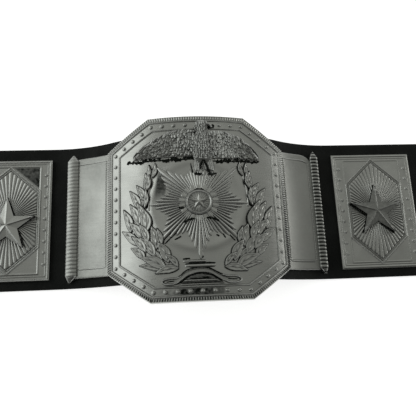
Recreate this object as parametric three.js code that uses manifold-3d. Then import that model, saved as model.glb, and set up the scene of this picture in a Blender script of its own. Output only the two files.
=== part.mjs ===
// Championship belt lying open and face up: a leather strap that arches under a cast octagonal
// plate, a wing panel at each side of that plate, two rectangular side plates, and snaps at the
// strap's ends. Millimetres, +X along the belt, +Y to its upper edge, +Z up off the floor.
//
// Each feature is drawn flat in (s, y, h): s runs along the belt from its middle, y across it, and
// h is the height over the strap's back. It is then bent onto the belt's side profile and joined.

import * as THREE from 'three';
import Module from 'manifold-3d';
import { mergeVertices } from 'three/addons/utils/BufferGeometryUtils.js';

const wasm = await Module();
wasm.setup();

const { PI, abs, cos, hypot, sign, sin } = Math;
const GAP = 0.3;

// Side profile: a convex crown, then a concave foot that meets the flat stretch level.
const SHOULDER_S = 80.35;
const FOOT_S = 141.3;
const STEEPEST = 0.54;
const CROWN_R = SHOULDER_S / STEEPEST;
const FOOT_R = (FOOT_S - SHOULDER_S) / STEEPEST;
const FOOT_X = (CROWN_R + FOOT_R) * sin(STEEPEST);
const RISE = (CROWN_R + FOOT_R) * (1 - cos(STEEPEST));

// Strap
const STRAP_LENGTH = 1220;
const STRAP_HEIGHT = 133;
const STRAP_THICK = 3;
const STRAP_MIDDLE_Y = 2;
const STRAP_END_HEIGHT = 106;
const STRAP_TAPER_S = 330;
const STRAP_CORNER = 26;

// Plates: heights over the strap's back
const PLATE_BACK = STRAP_THICK + GAP;
const FIELD = 9;
const EDGE_TOP = 9.5;
const LINE_TOP = 10.2;
const OCTAGON = { halfWidth: SHOULDER_S, halfHeight: 82, cornerS: 41.5, cornerY: 55.4 };
const EDGE_WIDTH = 4.2;
const LINE_WIDTH = 1.2;
const CHANNEL_WIDTH = 6.6;
const PIP = { radius: 1.4, height: 1, sides: 7 };
const PIP_PITCH = 10.8;

// Sunburst in the octagon: eight points, each with its bearing in degrees and its reach
const BURST_CENTRE = [-0.5, 1.5];
const BURST_POINTS = [
  { bearing: 0, reach: 40.5 },
  { bearing: 45, reach: 45 },
  { bearing: 90, reach: 34 },
  { bearing: 135, reach: 45.5 },
  { bearing: 180, reach: 40 },
  { bearing: 225, reach: 44 },
  { bearing: 270, reach: 47 },
  { bearing: 315, reach: 43.5 },
];
const BURST_VALLEY = 27.5;
const BURST_FLUTES = 24;
const ROSETTE = { tip: 17.5, valley: 13, points: 12, height: 3.2 };
const MEDALLION = { radius: 10.5, height: 4.2, sides: 24 };
const MEDALLION_STAR = { tip: 7, valley: 2.8, height: 5.2 };

// Wreath: each leaf's tip and base on the left half, with its width; the right half mirrors them
const LEAVES = [
  { tip: [-63.3, 0], base: [-57, -19], width: 6.5 },
  { tip: [-57.5, 4], base: [-50, -13], width: 6.5 },
  { tip: [-44, -0.5], base: [-43, -21], width: 9.5 },
  { tip: [-58.5, -12], base: [-47, -27], width: 7 },
  { tip: [-64.5, -19.5], base: [-51, -32], width: 6.5 },
  { tip: [-39.5, -17], base: [-37, -34], width: 8 },
  { tip: [-50.5, -26], base: [-39, -41], width: 8 },
  { tip: [-57, -34.5], base: [-46, -43], width: 6.5 },
  { tip: [-35, -31], base: [-28, -47], width: 8 },
  { tip: [-48, -43.5], base: [-29, -53], width: 8.5 },
  { tip: [-47, -51.5], base: [-31, -56], width: 4.5 },
  { tip: [-33, -57], base: [-18, -54], width: 5 },
  { tip: [-27.5, -41.5], base: [-18, -52], width: 6.5 },
  { tip: [-57.5, 16], base: [-49, 2], width: 6 },
  { tip: [-51.5, 20.5], base: [-45, 9], width: 6 },
  { tip: [-43.5, 31], base: [-46, 17], width: 5 },
  { tip: [-37.5, 39], base: [-41, 23], width: 4.5 },
  { tip: [-42, 17], base: [-46, 4], width: 5 },
];
const LEAF = { edge: 0.8, height: 1.9 };

// Eagle: half width and height of its body at stations down from the crown of its head
const EAGLE_S = 4.2;
const EAGLE_BODY = [
  { y: 76.5, half: 2.2, height: 3.4 },
  { y: 72, half: 4, height: 5 },
  { y: 66.5, half: 4, height: 4.6 },
  { y: 60, half: 6.2, height: 5.2 },
  { y: 52, half: 7.8, height: 5.6 },
  { y: 44, half: 7.2, height: 5 },
  { y: 38, half: 5, height: 3.6 },
];
const BEAK = { base: [7, 73], tip: [12.5, 70.5], width: 3, edge: 3, height: 4.2 };
const LEGS = [
  { base: [0.5, 42], tip: [-0.5, 27], width: 5.5, edge: 2, height: 3.2 },
  { base: [9, 42], tip: [11.5, 27], width: 5.5, edge: 2, height: 3.2 },
  { base: [4.3, 39], tip: [4.6, 29], width: 3.2, edge: 1.2, height: 2.2 },
];
// Wings: the upper arc's points, the level lower edge and the number of long feathers
const WING_ARCS = [
  {
    edge: 43.4,
    feathers: 10,
    arc: [[-1, 66], [-12, 68], [-24, 65.5], [-35, 60.5], [-45, 56], [-52, 50.5], [-59, 44.6]],
  },
  {
    edge: 41.4,
    feathers: 9,
    arc: [[9, 65], [17, 66], [26, 64], [34, 61.5], [42, 57], [49, 50.5], [54.5, 43]],
  },
];
const WEB_HEIGHT = 1.6;
const FEATHER = { width: 5.4, edge: 1.8, height: 3 };

// Ribbon: its upper and lower edge, and the straight bars over it
const RIBBON = [
  { s: -30, foot: -66.8, head: -62.2 },
  { s: -20, foot: -67, head: -62 },
  { s: -12.5, foot: -62, head: -56.6 },
  { s: -5, foot: -59, head: -54.6 },
  { s: 0, foot: -58.4, head: -54.2 },
  { s: 6, foot: -60, head: -55.6 },
  { s: 12, foot: -63.4, head: -59 },
  { s: 18, foot: -67.2, head: -62.6 },
  { s: 29, foot: -67.6, head: -63.4 },
];
const RIBBON_HEIGHT = 2.4;
const BAR_HEIGHT = 1.7;
const SCROLL_BARS = [
  { s: -1, y: -51.2, length: 25, width: 2 },
  { s: -6, y: -47.4, length: 17, width: 1.8 },
  { s: 1, y: -64, length: 24, width: 2.2 },
];

// Wing panels and their ribbed bars
const WING = { inner: SHOULDER_S + GAP, outer: 117.4, halfHeight: 56, outerCorner: 49.5 };
const WING_HEIGHTS = { top: 6.2, lineTop: 7 };
const WING_FRAME = { side: 3.4, upper: 6, width: 1.1 };
const BAR = { middle: 121.5, half: 4.5, crest: 2.8, waist: 0.72, halfHeight: 59.5, taper: 8, ribs: 30 };

// Side plates
const SIDE = { inner: FOOT_S, width: 78.4, halfHeight: 56.2, top: 6, lineTop: 7 };
const SIDE_PIPS = { inset: 6.2, count: 9, pitch: 10.4 };
const SIDE_FRAME = { side: 10.4, upper: 5.4 };
const HEXAGON = { apexY: 49.5, sideS: 28, sideY: 26 };
const HEXAGON_LINE = 1.3;
const RAYS = { count: 28, ridge: 1.1, groove: 0.35, peak: 2.6 };
const SIDE_STAR = { centre: [0, -1.5], tip: 26, valley: 10.6, edge: 1.6, peak: 7.6 };

// Snaps at the strap's ends
const SNAP = { radius: 7.5, height: 2.4, postRadius: 3, postHeight: 5, sides: 10 };
const SNAP_ROWS = [-28, 28];
const SNAP_COLUMNS = [22, 52];

// Finishes
const leather = new THREE.MeshStandardMaterial({ color: 0x121412, roughness: 0.55, metalness: 0 });
const castMetal = new THREE.MeshStandardMaterial({ color: 0x8b8f88, roughness: 0.34, metalness: 1 });
const snapMetal = new THREE.MeshStandardMaterial({ color: 0x9a9c98, roughness: 0.3, metalness: 1 });

// Bends a flat point onto the belt's side profile.
function bend([s, y, h]) {
  const reach = abs(s);
  if (reach > FOOT_S) {
    return [sign(s) * (FOOT_X + reach - FOOT_S), y, h];
  }
  const crown = reach <= SHOULDER_S;
  const slope = crown ? reach / CROWN_R : (FOOT_S - reach) / FOOT_R;
  const x = crown ? CROWN_R * sin(slope) : FOOT_X - FOOT_R * sin(slope);
  const z = crown ? RISE - CROWN_R * (1 - cos(slope)) : FOOT_R * (1 - cos(slope));
  return [sign(s) * (x + h * sin(slope)), y, z + h * cos(slope)];
}

// Stations where the flat faces turn, so that they follow the profile's curves.
const CROWN_STEPS = 6;
const FOOT_STEPS = 6;
const STATIONS = [0];
for (let step = 1; step <= CROWN_STEPS; step += 1) {
  STATIONS.push((SHOULDER_S * step) / CROWN_STEPS);
}
for (let step = 1; step <= FOOT_STEPS; step += 1) {
  STATIONS.push(SHOULDER_S + ((FOOT_S - SHOULDER_S) * step) / FOOT_STEPS);
}
const ALL_STATIONS = STATIONS.concat(STATIONS.slice(1).map((s) => -s)).sort((a, b) => a - b);
const stationsBetween = (from, to) => ALL_STATIONS.filter((s) => s > from + 0.5 && s < to - 0.5);

const radians = (degrees) => (degrees * PI) / 180;
const CORNER_TURNS = [22.5, 45, 67.5, 90].map(radians);
const HALF_ROUND = [-90, -45, 0, 45, 90].map(radians);
const BAR_ROUND = [-90, -40, 40, 90].map(radians);

// A closed body skinned through rings, which turn counter-clockwise about the way they are stacked.
// Each end is closed round its middle point; peak lifts the last middle to that height.
function skin(rings, peak) {
  const count = rings[0].length;
  const points = rings.flat();
  const middle = (ring) => [0, 1, 2].map((axis) => ring.reduce((sum, p) => sum + p[axis], 0) / count);
  const top = middle(rings.at(-1));
  points.push(middle(rings[0]), peak === undefined ? top : [top[0], top[1], peak]);
  const index = [];
  const last = (rings.length - 1) * count;
  for (let i = 0; i < count; i += 1) {
    const j = (i + 1) % count;
    for (let base = 0; base < last; base += count) {
      index.push(base + i, base + j, base + count + j);
      index.push(base + i, base + count + j, base + count + i);
    }
    index.push(points.length - 2, j, i);
    index.push(points.length - 1, last + i, last + j);
  }
  const geometry = new THREE.BufferGeometry();
  geometry.setAttribute('position', new THREE.Float32BufferAttribute(points.flat(), 3));
  geometry.setIndex(index);
  return geometry;
}

const atHeight = (outline, h) => outline.map(([s, y]) => [s, y, h]);

// Moves each side of a convex outline inwards.
function inset(outline, distance) {
  const count = outline.length;
  const sides = outline.map(([s, y], i) => {
    const [nextS, nextY] = outline[(i + 1) % count];
    const length = hypot(nextS - s, nextY - y);
    const inward = [-(nextY - y) / length, (nextS - s) / length];
    return { inward, offset: inward[0] * s + inward[1] * y + distance };
  });
  return sides.map((side, i) => {
    const before = sides[(i + count - 1) % count];
    const cross = before.inward[0] * side.inward[1] - before.inward[1] * side.inward[0];
    return [
      (before.offset * side.inward[1] - side.offset * before.inward[1]) / cross,
      (before.inward[0] * side.offset - side.inward[0] * before.offset) / cross,
    ];
  });
}

// A body that runs along s between two heights, through rows of its lower and upper edge.
function runAlong(rows, low, high) {
  const section = ({ s, foot, head }) => [[s, foot, low], [s, head, low], [s, head, high], [s, foot, high]];
  return skin(rows.map(section));
}

// A band that runs round inside an outline, with a profile of rows of inset and height.
function band(outline, profile) {
  const loops = profile.map(({ inside }) => inset(outline, inside));
  const sections = outline.flatMap((_, i) => {
    const next = (i + 1) % outline.length;
    const spans = loops.map((loop) => [loop[i][0], loop[next][0]].sort((a, b) => a - b));
    const [from, to] = [Math.max(...spans.map(([low]) => low)), Math.min(...spans.map(([, high]) => high))];
    const crossed = stationsBetween(from, to);
    if (loops[0][next][0] < loops[0][i][0]) crossed.reverse();
    const between = crossed.map((s) =>
      loops.map((loop, k) => {
        const share = (s - loop[i][0]) / (loop[next][0] - loop[i][0]);
        return [s, loop[i][1] + share * (loop[next][1] - loop[i][1]), profile[k].h];
      }),
    );
    return [loops.map((loop, k) => [...loop[i], profile[k].h]), ...between];
  });
  const count = profile.length;
  const index = sections.flatMap((_, i) => {
    const [here, ahead] = [i * count, ((i + 1) % sections.length) * count];
    return profile.flatMap((__, k) => {
      const up = (k + 1) % count;
      return [here + k, ahead + k, ahead + up, here + k, ahead + up, here + up];
    });
  });
  const geometry = new THREE.BufferGeometry();
  geometry.setAttribute('position', new THREE.Float32BufferAttribute(sections.flat(2), 3));
  geometry.setIndex(index);
  return geometry;
}

// A raised line of square section.
function frameLine(outline, inside, width, low, high) {
  return band(outline, [
    { inside, h: low },
    { inside, h: high },
    { inside: inside + width, h: high },
    { inside: inside + width, h: low },
  ]);
}

// A pip: a low cone of several sides.
function pip([s, y], base) {
  const ring = Array.from({ length: PIP.sides }, (_, i) => {
    const turn = (2 * PI * (i + 0.5)) / PIP.sides;
    return [s + PIP.radius * cos(turn), y + PIP.radius * sin(turn)];
  });
  return skin([atHeight(ring, base - 0.4), atHeight(ring, base + 0.1)], base + PIP.height);
}

// Evenly spaced places along a straight run, ends included, as near as can be to a pitch.
function spacedAlong([s0, y0], [s1, y1], pitch) {
  const steps = Math.max(1, Math.round(hypot(s1 - s0, y1 - y0) / pitch));
  return Array.from({ length: steps + 1 }, (_, i) => [
    s0 + ((s1 - s0) * i) / steps,
    y0 + ((y1 - y0) * i) / steps,
  ]);
}

// A leaf, feather, leg or beak: a pointed blade with low edges that rises to its middle.
function blade({ base, tip, width, edge, height }) {
  const along = [tip[0] - base[0], tip[1] - base[1]];
  const length = hypot(...along);
  const across = [along[1] / length, -along[0] / length];
  const profile = [[0, 0.35], [0.45, 1], [1, 0], [0.45, -1], [0, -0.35]];
  const ring = (h) =>
    profile.map(([share, half]) => {
      const offset = half * width * 0.5;
      return [...[0, 1].map((axis) => base[axis] + along[axis] * share + across[axis] * offset), h];
    });
  return skin([ring(FIELD - 0.5), ring(FIELD + edge)], FIELD + height);
}

// Distance from a centre to a closed outline that it sees whole, along one bearing.
function reachAlong(outline, bearing) {
  const [c, s] = [cos(bearing), sin(bearing)];
  for (let i = 0; i < outline.length; i += 1) {
    const a = outline[i];
    const b = outline[(i + 1) % outline.length];
    const ahead = [b[0] - a[0], b[1] - a[1]];
    const cross = c * ahead[1] - s * ahead[0];
    const reach = (a[0] * ahead[1] - a[1] * ahead[0]) / cross;
    const share = (a[0] * s - a[1] * c) / cross;
    if (reach > 0 && share >= -1e-9 && share <= 1 + 1e-9) return reach;
  }
  return 0;
}

// A fluted sunburst: ridges and grooves fan out from a centre to an outline drawn round it.
function flutedBurst([s0, y0], outline, flutes, floor, ridge, groove, peak) {
  const ring = (lift) =>
    Array.from({ length: flutes * 2 }, (_, i) => {
      const turn = (PI * i) / flutes;
      const reach = reachAlong(outline, turn);
      return [s0 + reach * cos(turn), y0 + reach * sin(turn), floor + lift(i % 2 === 0)];
    });
  return skin([ring(() => -0.5), ring((isRidge) => (isRidge ? ridge : groove))], floor + peak);
}

// A faceted star with one point up: a ridge to each tip and a valley to each notch.
function facetedStar([s0, y0], points, tip, valley, floor, edge, peak) {
  const ring = (h) =>
    Array.from({ length: points * 2 }, (_, i) => {
      const turn = PI / 2 + (PI * i) / points;
      const reach = i % 2 === 0 ? tip : valley;
      return [s0 + reach * cos(turn), y0 + reach * sin(turn), h];
    });
  return skin([ring(floor - 0.5), ring(floor + edge)], floor + peak);
}

// Bends a flat geometry onto the profile as a solid.
function bentSolid(geometry) {
  const bare = geometry.clone();
  bare.deleteAttribute('normal');
  bare.deleteAttribute('uv');
  const merged = mergeVertices(bare, 1e-4);
  const flat = merged.attributes.position;
  const corner = (i) => [flat.getX(i), flat.getY(i), flat.getZ(i)];
  const points = Array.from({ length: flat.count }, (_, i) => bend(corner(i)));
  const mesh = new wasm.Mesh({
    numProp: 3,
    vertProperties: new Float32Array(points.flat()),
    triVerts: new Uint32Array(merged.index.array),
  });
  return new wasm.Manifold(mesh);
}

// Joins flat features into one named cast piece that follows the profile. Side -1 gives the
// left-hand twin of a piece drawn on the right, with its faces turned to keep pointing out.
function castMesh(name, features, side = 1) {
  const whole = features.map(bentSolid).reduce((joined, solid) => joined.add(solid));
  const { vertProperties, triVerts } = whole.getMesh();
  const positions = vertProperties.map((value, i) => (i % 3 === 0 ? side * value : value));
  const geometry = new THREE.BufferGeometry();
  geometry.setAttribute('position', new THREE.Float32BufferAttribute(positions, 3));
  geometry.setIndex(Array.from(side > 0 ? triVerts : triVerts.reverse()));
  const mesh = new THREE.Mesh(geometry, castMetal);
  mesh.name = name;
  return mesh;
}

// Half the strap's height at a distance from its middle: full behind the plates, then a slow taper
// to a rounded corner.
function strapHalf(reach) {
  const [full, end] = [STRAP_HEIGHT / 2, STRAP_END_HEIGHT / 2];
  const toCorner = STRAP_LENGTH / 2 - STRAP_CORNER;
  if (reach <= STRAP_TAPER_S) return full;
  if (reach <= toCorner) {
    return full - ((full - end) * (reach - STRAP_TAPER_S)) / (toCorner - STRAP_TAPER_S);
  }
  const share = Math.min(1, (reach - toCorner) / STRAP_CORNER);
  return end - STRAP_CORNER * (1 - Math.sqrt(1 - share * share));
}

// The strap, skinned through a rectangle at each station of the profile and of its outline.
function strap() {
  const toCorner = STRAP_LENGTH / 2 - STRAP_CORNER;
  const cornerReaches = CORNER_TURNS.map((turn) => toCorner + STRAP_CORNER * sin(turn));
  const reaches = [...STATIONS.slice(1), STRAP_TAPER_S, toCorner, ...cornerReaches];
  const places = [...reaches.map((s) => -s).reverse(), 0, ...reaches];
  const rings = places.map((s) => {
    const half = strapHalf(abs(s));
    const [low, high] = [STRAP_MIDDLE_Y - half, STRAP_MIDDLE_Y + half];
    return [[s, low, 0], [s, high, 0], [s, high, STRAP_THICK], [s, low, STRAP_THICK]].map(bend);
  });
  const mesh = new THREE.Mesh(skin(rings), leather);
  mesh.name = 'strap';
  return mesh;
}

function octagonOutline() {
  const { halfWidth, halfHeight, cornerS, cornerY } = OCTAGON;
  return [
    [-cornerS, -halfHeight], [cornerS, -halfHeight], [halfWidth, -cornerY], [halfWidth, cornerY],
    [cornerS, halfHeight], [-cornerS, halfHeight], [-halfWidth, cornerY], [-halfWidth, -cornerY],
  ];
}

// Sunburst outline: the eight points with a valley halfway between each two.
function burstOutline() {
  return BURST_POINTS.flatMap(({ bearing, reach }) => {
    const [tip, valley] = [radians(bearing), radians(bearing + 22.5)];
    return [
      [reach * cos(tip), reach * sin(tip)],
      [BURST_VALLEY * cos(valley), BURST_VALLEY * sin(valley)],
    ];
  });
}

function rosette() {
  const { tip, valley, points, height } = ROSETTE;
  return facetedStar(BURST_CENTRE, points, tip, valley, FIELD, height - 0.8, height);
}

function medallion() {
  const { radius, height, sides } = MEDALLION;
  const disc = new THREE.CylinderGeometry(radius, radius, height + 1, sides).rotateX(PI / 2);
  return disc.translate(BURST_CENTRE[0], BURST_CENTRE[1], FIELD + (height - 1) / 2);
}

// The eagle's head and body: half-round sections stacked from tail to crown.
function eagleBody() {
  const rings = [...EAGLE_BODY].reverse().map(({ y, half, height }) => [
    ...HALF_ROUND.map((turn) => [EAGLE_S + half * sin(turn), y, FIELD + height * cos(turn)]),
    [EAGLE_S + half, y, FIELD - 0.5],
    [EAGLE_S - half, y, FIELD - 0.5],
  ]);
  return skin(rings);
}

// Point at a share of a polyline's length along s.
function alongArc(arc, share) {
  const s = arc[0][0] + (arc.at(-1)[0] - arc[0][0]) * share;
  for (let i = 0; i + 1 < arc.length; i += 1) {
    const t = (s - arc[i][0]) / (arc[i + 1][0] - arc[i][0]);
    if (t >= 0 && t <= 1 + 1e-9) return [s, arc[i][1] + (arc[i + 1][1] - arc[i][1]) * t];
  }
  return arc.at(-1);
}

// One spread wing: a low web under its upper arc, and long feathers that hang to a level edge.
function eagleWing({ edge, feathers, arc }) {
  const rows = arc.map(([s, y]) => ({ s, foot: edge - 0.4, head: y }));
  if (arc[0][0] < 0) rows.reverse();
  const web = runAlong(rows, FIELD - 0.5, FIELD + WEB_HEIGHT);
  const quills = Array.from({ length: feathers }, (_, i) => {
    const share = (i + 0.5) / feathers;
    const [tipS] = alongArc(arc, share);
    const [rootS, rootY] = alongArc(arc, share * 0.86);
    const root = [rootS, Math.min(rootY - 1.5, 62)];
    return blade({ base: root, tip: [tipS, edge - 0.8], ...FEATHER });
  });
  return [web, ...quills];
}

function ribbon() {
  const bars = SCROLL_BARS.map(({ s, y, length, width }) => {
    const ends = [s - length / 2, s + length / 2];
    const rows = [ends[0], ...stationsBetween(...ends), ends[1]];
    return runAlong(
      rows.map((place) => ({ s: place, foot: y - width / 2, head: y + width / 2 })),
      FIELD - 0.5,
      FIELD + BAR_HEIGHT,
    );
  });
  return [runAlong(RIBBON, FIELD - 0.5, FIELD + RIBBON_HEIGHT), ...bars];
}

function wreath() {
  return LEAVES.flatMap(({ tip, base, width }) =>
    [1, -1].map((side) =>
      blade({ base: [base[0] * side, base[1]], tip: [tip[0] * side, tip[1]], width, ...LEAF }),
    ),
  );
}

// The cast octagon with its border and all its relief, in one piece of metal.
function centrePlate() {
  const outline = octagonOutline();
  const [low, bevel] = [FIELD - 0.5, 1.2];
  const core = inset(outline, 1);
  const [, , [coreS, shoulderY], , [cornerS, coreY]] = core;
  const places = [-coreS, -cornerS, ...stationsBetween(-coreS, coreS), cornerS, coreS].sort((a, b) => a - b);
  const rows = places.map((s) => {
    const share = Math.max(0, (abs(s) - cornerS) / (coreS - cornerS));
    const half = coreY + share * (abs(shoulderY) - coreY);
    return { s, foot: -half, head: half };
  });
  const edgeBand = band(outline, [
    { inside: 0, h: PLATE_BACK },
    { inside: 0, h: EDGE_TOP - bevel },
    { inside: bevel, h: EDGE_TOP },
    { inside: EDGE_WIDTH + LINE_WIDTH / 2, h: EDGE_TOP },
    { inside: EDGE_WIDTH + LINE_WIDTH / 2, h: PLATE_BACK },
  ]);
  const track = inset(outline, EDGE_WIDTH + LINE_WIDTH + CHANNEL_WIDTH / 2);
  const pips = track.flatMap((corner, i) =>
    spacedAlong(corner, track[(i + 1) % track.length], PIP_PITCH)
      .slice(1)
      .map((place) => pip(place, FIELD)),
  );
  const { tip, valley, height } = MEDALLION_STAR;
  return [
    runAlong(rows, PLATE_BACK, FIELD),
    edgeBand,
    frameLine(outline, EDGE_WIDTH, LINE_WIDTH, low, LINE_TOP),
    frameLine(outline, EDGE_WIDTH + LINE_WIDTH + CHANNEL_WIDTH, LINE_WIDTH, low, LINE_TOP - 0.1),
    ...pips,
    flutedBurst(BURST_CENTRE, burstOutline(), BURST_FLUTES, FIELD, 1.3, 0.5, 2.4),
    rosette(),
    medallion(),
    facetedStar(BURST_CENTRE, 5, tip, valley, FIELD, MEDALLION.height + 0.2, height),
    ...wreath(),
    ...ribbon(),
    ...WING_ARCS.flatMap(eagleWing),
    eagleBody(),
    blade(BEAK),
    ...LEGS.map(blade),
  ];
}

// One wing on the right-hand side: a framed panel and a half-round bar of ribs with tapered ends.
function wing() {
  const { inner, outer, halfHeight, outerCorner } = WING;
  const { top, lineTop } = WING_HEIGHTS;
  const bevel = outer - 9;
  const places = [inner, ...stationsBetween(inner, bevel), bevel, outer];
  const rows = places.map((s) => {
    const half = s > bevel ? outerCorner : halfHeight;
    return { s, foot: -half, head: half };
  });
  const { side, upper, width } = WING_FRAME;
  const frame = [
    [inner + side, -halfHeight + upper], [outer - 2, -halfHeight + upper],
    [outer - 2, halfHeight - upper], [inner + side, halfHeight - upper],
  ];
  const steps = BAR.ribs * 2;
  const rings = Array.from({ length: steps + 1 }, (_, i) => {
    const y = -BAR.halfHeight + (2 * BAR.halfHeight * i) / steps;
    const taper = Math.min(1, 0.25 + (0.75 * (BAR.halfHeight - abs(y))) / BAR.taper);
    const half = BAR.half * taper;
    const crest = BAR.crest * taper * (i % 2 === 0 ? BAR.waist : 1);
    return [
      ...BAR_ROUND.map((turn) => [BAR.middle + half * sin(turn), y, top + crest * cos(turn)]),
      [BAR.middle + half, y, PLATE_BACK],
      [BAR.middle - half, y, PLATE_BACK],
    ];
  });
  return [
    runAlong(rows, PLATE_BACK, top),
    frameLine(frame, 0, width, top - 0.5, lineTop),
    skin(rings),
  ];
}

// One side plate on the right-hand side, with its frame, pips, hexagon of rays and star.
function sidePlate() {
  const { inner, width, halfHeight, top, lineTop } = SIDE;
  const middle = inner + width / 2;
  const box = (halfS, halfY) => [
    [middle - halfS, -halfY], [middle + halfS, -halfY], [middle + halfS, halfY], [middle - halfS, halfY],
  ];
  const { apexY, sideS, sideY } = HEXAGON;
  const hexagon = [
    [0, -apexY], [sideS, -sideY], [sideS, sideY], [0, apexY], [-sideS, sideY], [-sideS, -sideY],
  ];
  const placed = hexagon.map(([s, y]) => [s + middle, y]);
  const pips = [-1, 1].flatMap((side) =>
    Array.from({ length: SIDE_PIPS.count }, (_, i) => {
      const y = (i - (SIDE_PIPS.count - 1) / 2) * SIDE_PIPS.pitch;
      return pip([middle + side * (width / 2 - SIDE_PIPS.inset), y], top);
    }),
  );
  const { side, upper } = SIDE_FRAME;
  const { centre, tip, valley, edge, peak } = SIDE_STAR;
  const raysInside = inset(hexagon, HEXAGON_LINE * 2.4);
  const whole = box(width / 2, halfHeight);
  const edges = [inner, inner + width].map((s) => ({ s, foot: -halfHeight, head: halfHeight }));
  return [
    runAlong(edges, PLATE_BACK, top),
    frameLine(whole, 0.5, LINE_WIDTH, top - 0.5, lineTop),
    frameLine(box(width / 2 - side, halfHeight - upper), 0, LINE_WIDTH, top - 0.5, lineTop),
    frameLine(placed, 0, HEXAGON_LINE, top - 0.5, lineTop + 0.4),
    frameLine(placed, HEXAGON_LINE * 1.8, HEXAGON_LINE * 0.7, top - 0.5, lineTop + 0.2),
    flutedBurst([middle, 0], raysInside, RAYS.count, top, RAYS.ridge, RAYS.groove, RAYS.peak),
    facetedStar([middle + centre[0], centre[1]], 5, tip, valley, top, edge, peak),
    ...pips,
  ];
}

// A snap half on the strap's end: a low turned cap, with a post on the stud half.
function snap(name, hasPost, x, y) {
  const { radius, height, postRadius, postHeight } = SNAP;
  const profile = [[0, 0], [radius, 0], [radius, height * 0.45], [radius * 0.75, height]];
  if (hasPost) profile.push([postRadius, height], [postRadius, postHeight]);
  profile.push([0, hasPost ? postHeight : height]);
  const turned = new THREE.LatheGeometry(profile.map(([r, h]) => new THREE.Vector2(r, h)), SNAP.sides);
  turned.deleteAttribute('normal');
  turned.deleteAttribute('uv');
  const mesh = new THREE.Mesh(mergeVertices(turned.rotateX(PI / 2), 1e-4), snapMetal);
  mesh.position.set(x, y, STRAP_THICK + GAP);
  mesh.name = name;
  return mesh;
}

const belt = new THREE.Group();
belt.name = 'championship_belt';
belt.add(strap());
belt.add(castMesh('centre_plate', centrePlate()));
for (const [hand, side] of [['right', 1], ['left', -1]]) {
  belt.add(castMesh(`wing_${hand}`, wing(), side));
  belt.add(castMesh(`side_plate_${hand}`, sidePlate(), side));
}

const strapEndX = FOOT_X + STRAP_LENGTH / 2 - FOOT_S;
for (const [kind, hasPost, side] of [['snap_cap', false, -1], ['snap_stud', true, 1]]) {
  const places = SNAP_COLUMNS.flatMap((column) => SNAP_ROWS.map((row) => [strapEndX - column, row]));
  places.forEach(([x, row], i) => {
    belt.add(snap(`${kind}_${i + 1}`, hasPost, side * x, STRAP_MIDDLE_Y + row));
  });
}

export default belt;
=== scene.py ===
import math

import bpy
import numpy as np
from mathutils import Euler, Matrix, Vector


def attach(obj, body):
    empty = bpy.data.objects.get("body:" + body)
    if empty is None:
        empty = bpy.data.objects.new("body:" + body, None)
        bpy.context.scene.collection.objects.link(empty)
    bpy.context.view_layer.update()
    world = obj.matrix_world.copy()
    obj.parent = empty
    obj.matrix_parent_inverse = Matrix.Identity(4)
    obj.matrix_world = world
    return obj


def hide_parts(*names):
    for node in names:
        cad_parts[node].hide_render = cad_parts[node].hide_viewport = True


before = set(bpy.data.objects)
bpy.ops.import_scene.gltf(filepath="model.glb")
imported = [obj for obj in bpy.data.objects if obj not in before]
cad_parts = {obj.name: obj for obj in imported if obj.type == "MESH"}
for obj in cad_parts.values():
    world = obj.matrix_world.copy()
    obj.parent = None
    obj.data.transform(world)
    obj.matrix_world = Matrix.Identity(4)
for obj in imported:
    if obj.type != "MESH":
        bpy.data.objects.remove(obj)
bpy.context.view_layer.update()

# Strap
# One band of black cowhide, 3 mm thick, cut to a round-cornered outline and arched by hand under the
# centre plate. Its face is grained and finished, and its back is the rough flesh side.
MM = 0.001
SHOULDER = 80.35
FOOT = 141.3
STEEPEST = 0.54
CROWN_RADIUS = SHOULDER / STEEPEST
FOOT_RADIUS = (FOOT - SHOULDER) / STEEPEST
FOOT_X = (CROWN_RADIUS + FOOT_RADIUS) * math.sin(STEEPEST)
RISE = (CROWN_RADIUS + FOOT_RADIUS) * (1 - math.cos(STEEPEST))
STRAP_LENGTH = 1220
STRAP_HEIGHT = 133
STRAP_THICK = 3
STRAP_MIDDLE = 2
STRAP_END_HEIGHT = 106
STRAP_TAPER = 330
STRAP_CORNER = 26
STRAP_EDGE = 1.2
STRAP_WAVE = 0.1
CREASE_ANGLE = 38
LEATHER_FACE = ((0.0035, 0.0045, 0.004, 1), (0.01, 0.0115, 0.0105, 1))
LEATHER_FLESH = ((0.006, 0.006, 0.006, 1), (0.03, 0.028, 0.026, 1))


def bend(flat):
    """Carries flat points (s, y, h), in mm, onto the belt's side profile, in metres. On the crown the
    slope is a = |s| / CROWN_RADIUS and x = CROWN_RADIUS sin a; on the foot a = (FOOT - |s|) /
    FOOT_RADIUS and x = FOOT_X - FOOT_RADIUS sin a; h then moves the point by h (sin a, cos a)."""
    s, y, h = np.moveaxis(flat, -1, 0)
    reach = np.abs(s)
    crown = reach <= SHOULDER
    slope = np.where(crown, reach / CROWN_RADIUS, np.maximum(FOOT - reach, 0) / FOOT_RADIUS)
    along = np.where(crown, CROWN_RADIUS * np.sin(slope), FOOT_X - FOOT_RADIUS * np.sin(slope))
    along = along + np.maximum(reach - FOOT, 0)
    drop = 1 - np.cos(slope)
    rise = np.where(crown, RISE - CROWN_RADIUS * drop, FOOT_RADIUS * drop)
    x = np.sign(s) * (along + h * np.sin(slope))
    return np.stack([x, y, rise + h * np.cos(slope)], -1) * MM


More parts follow.
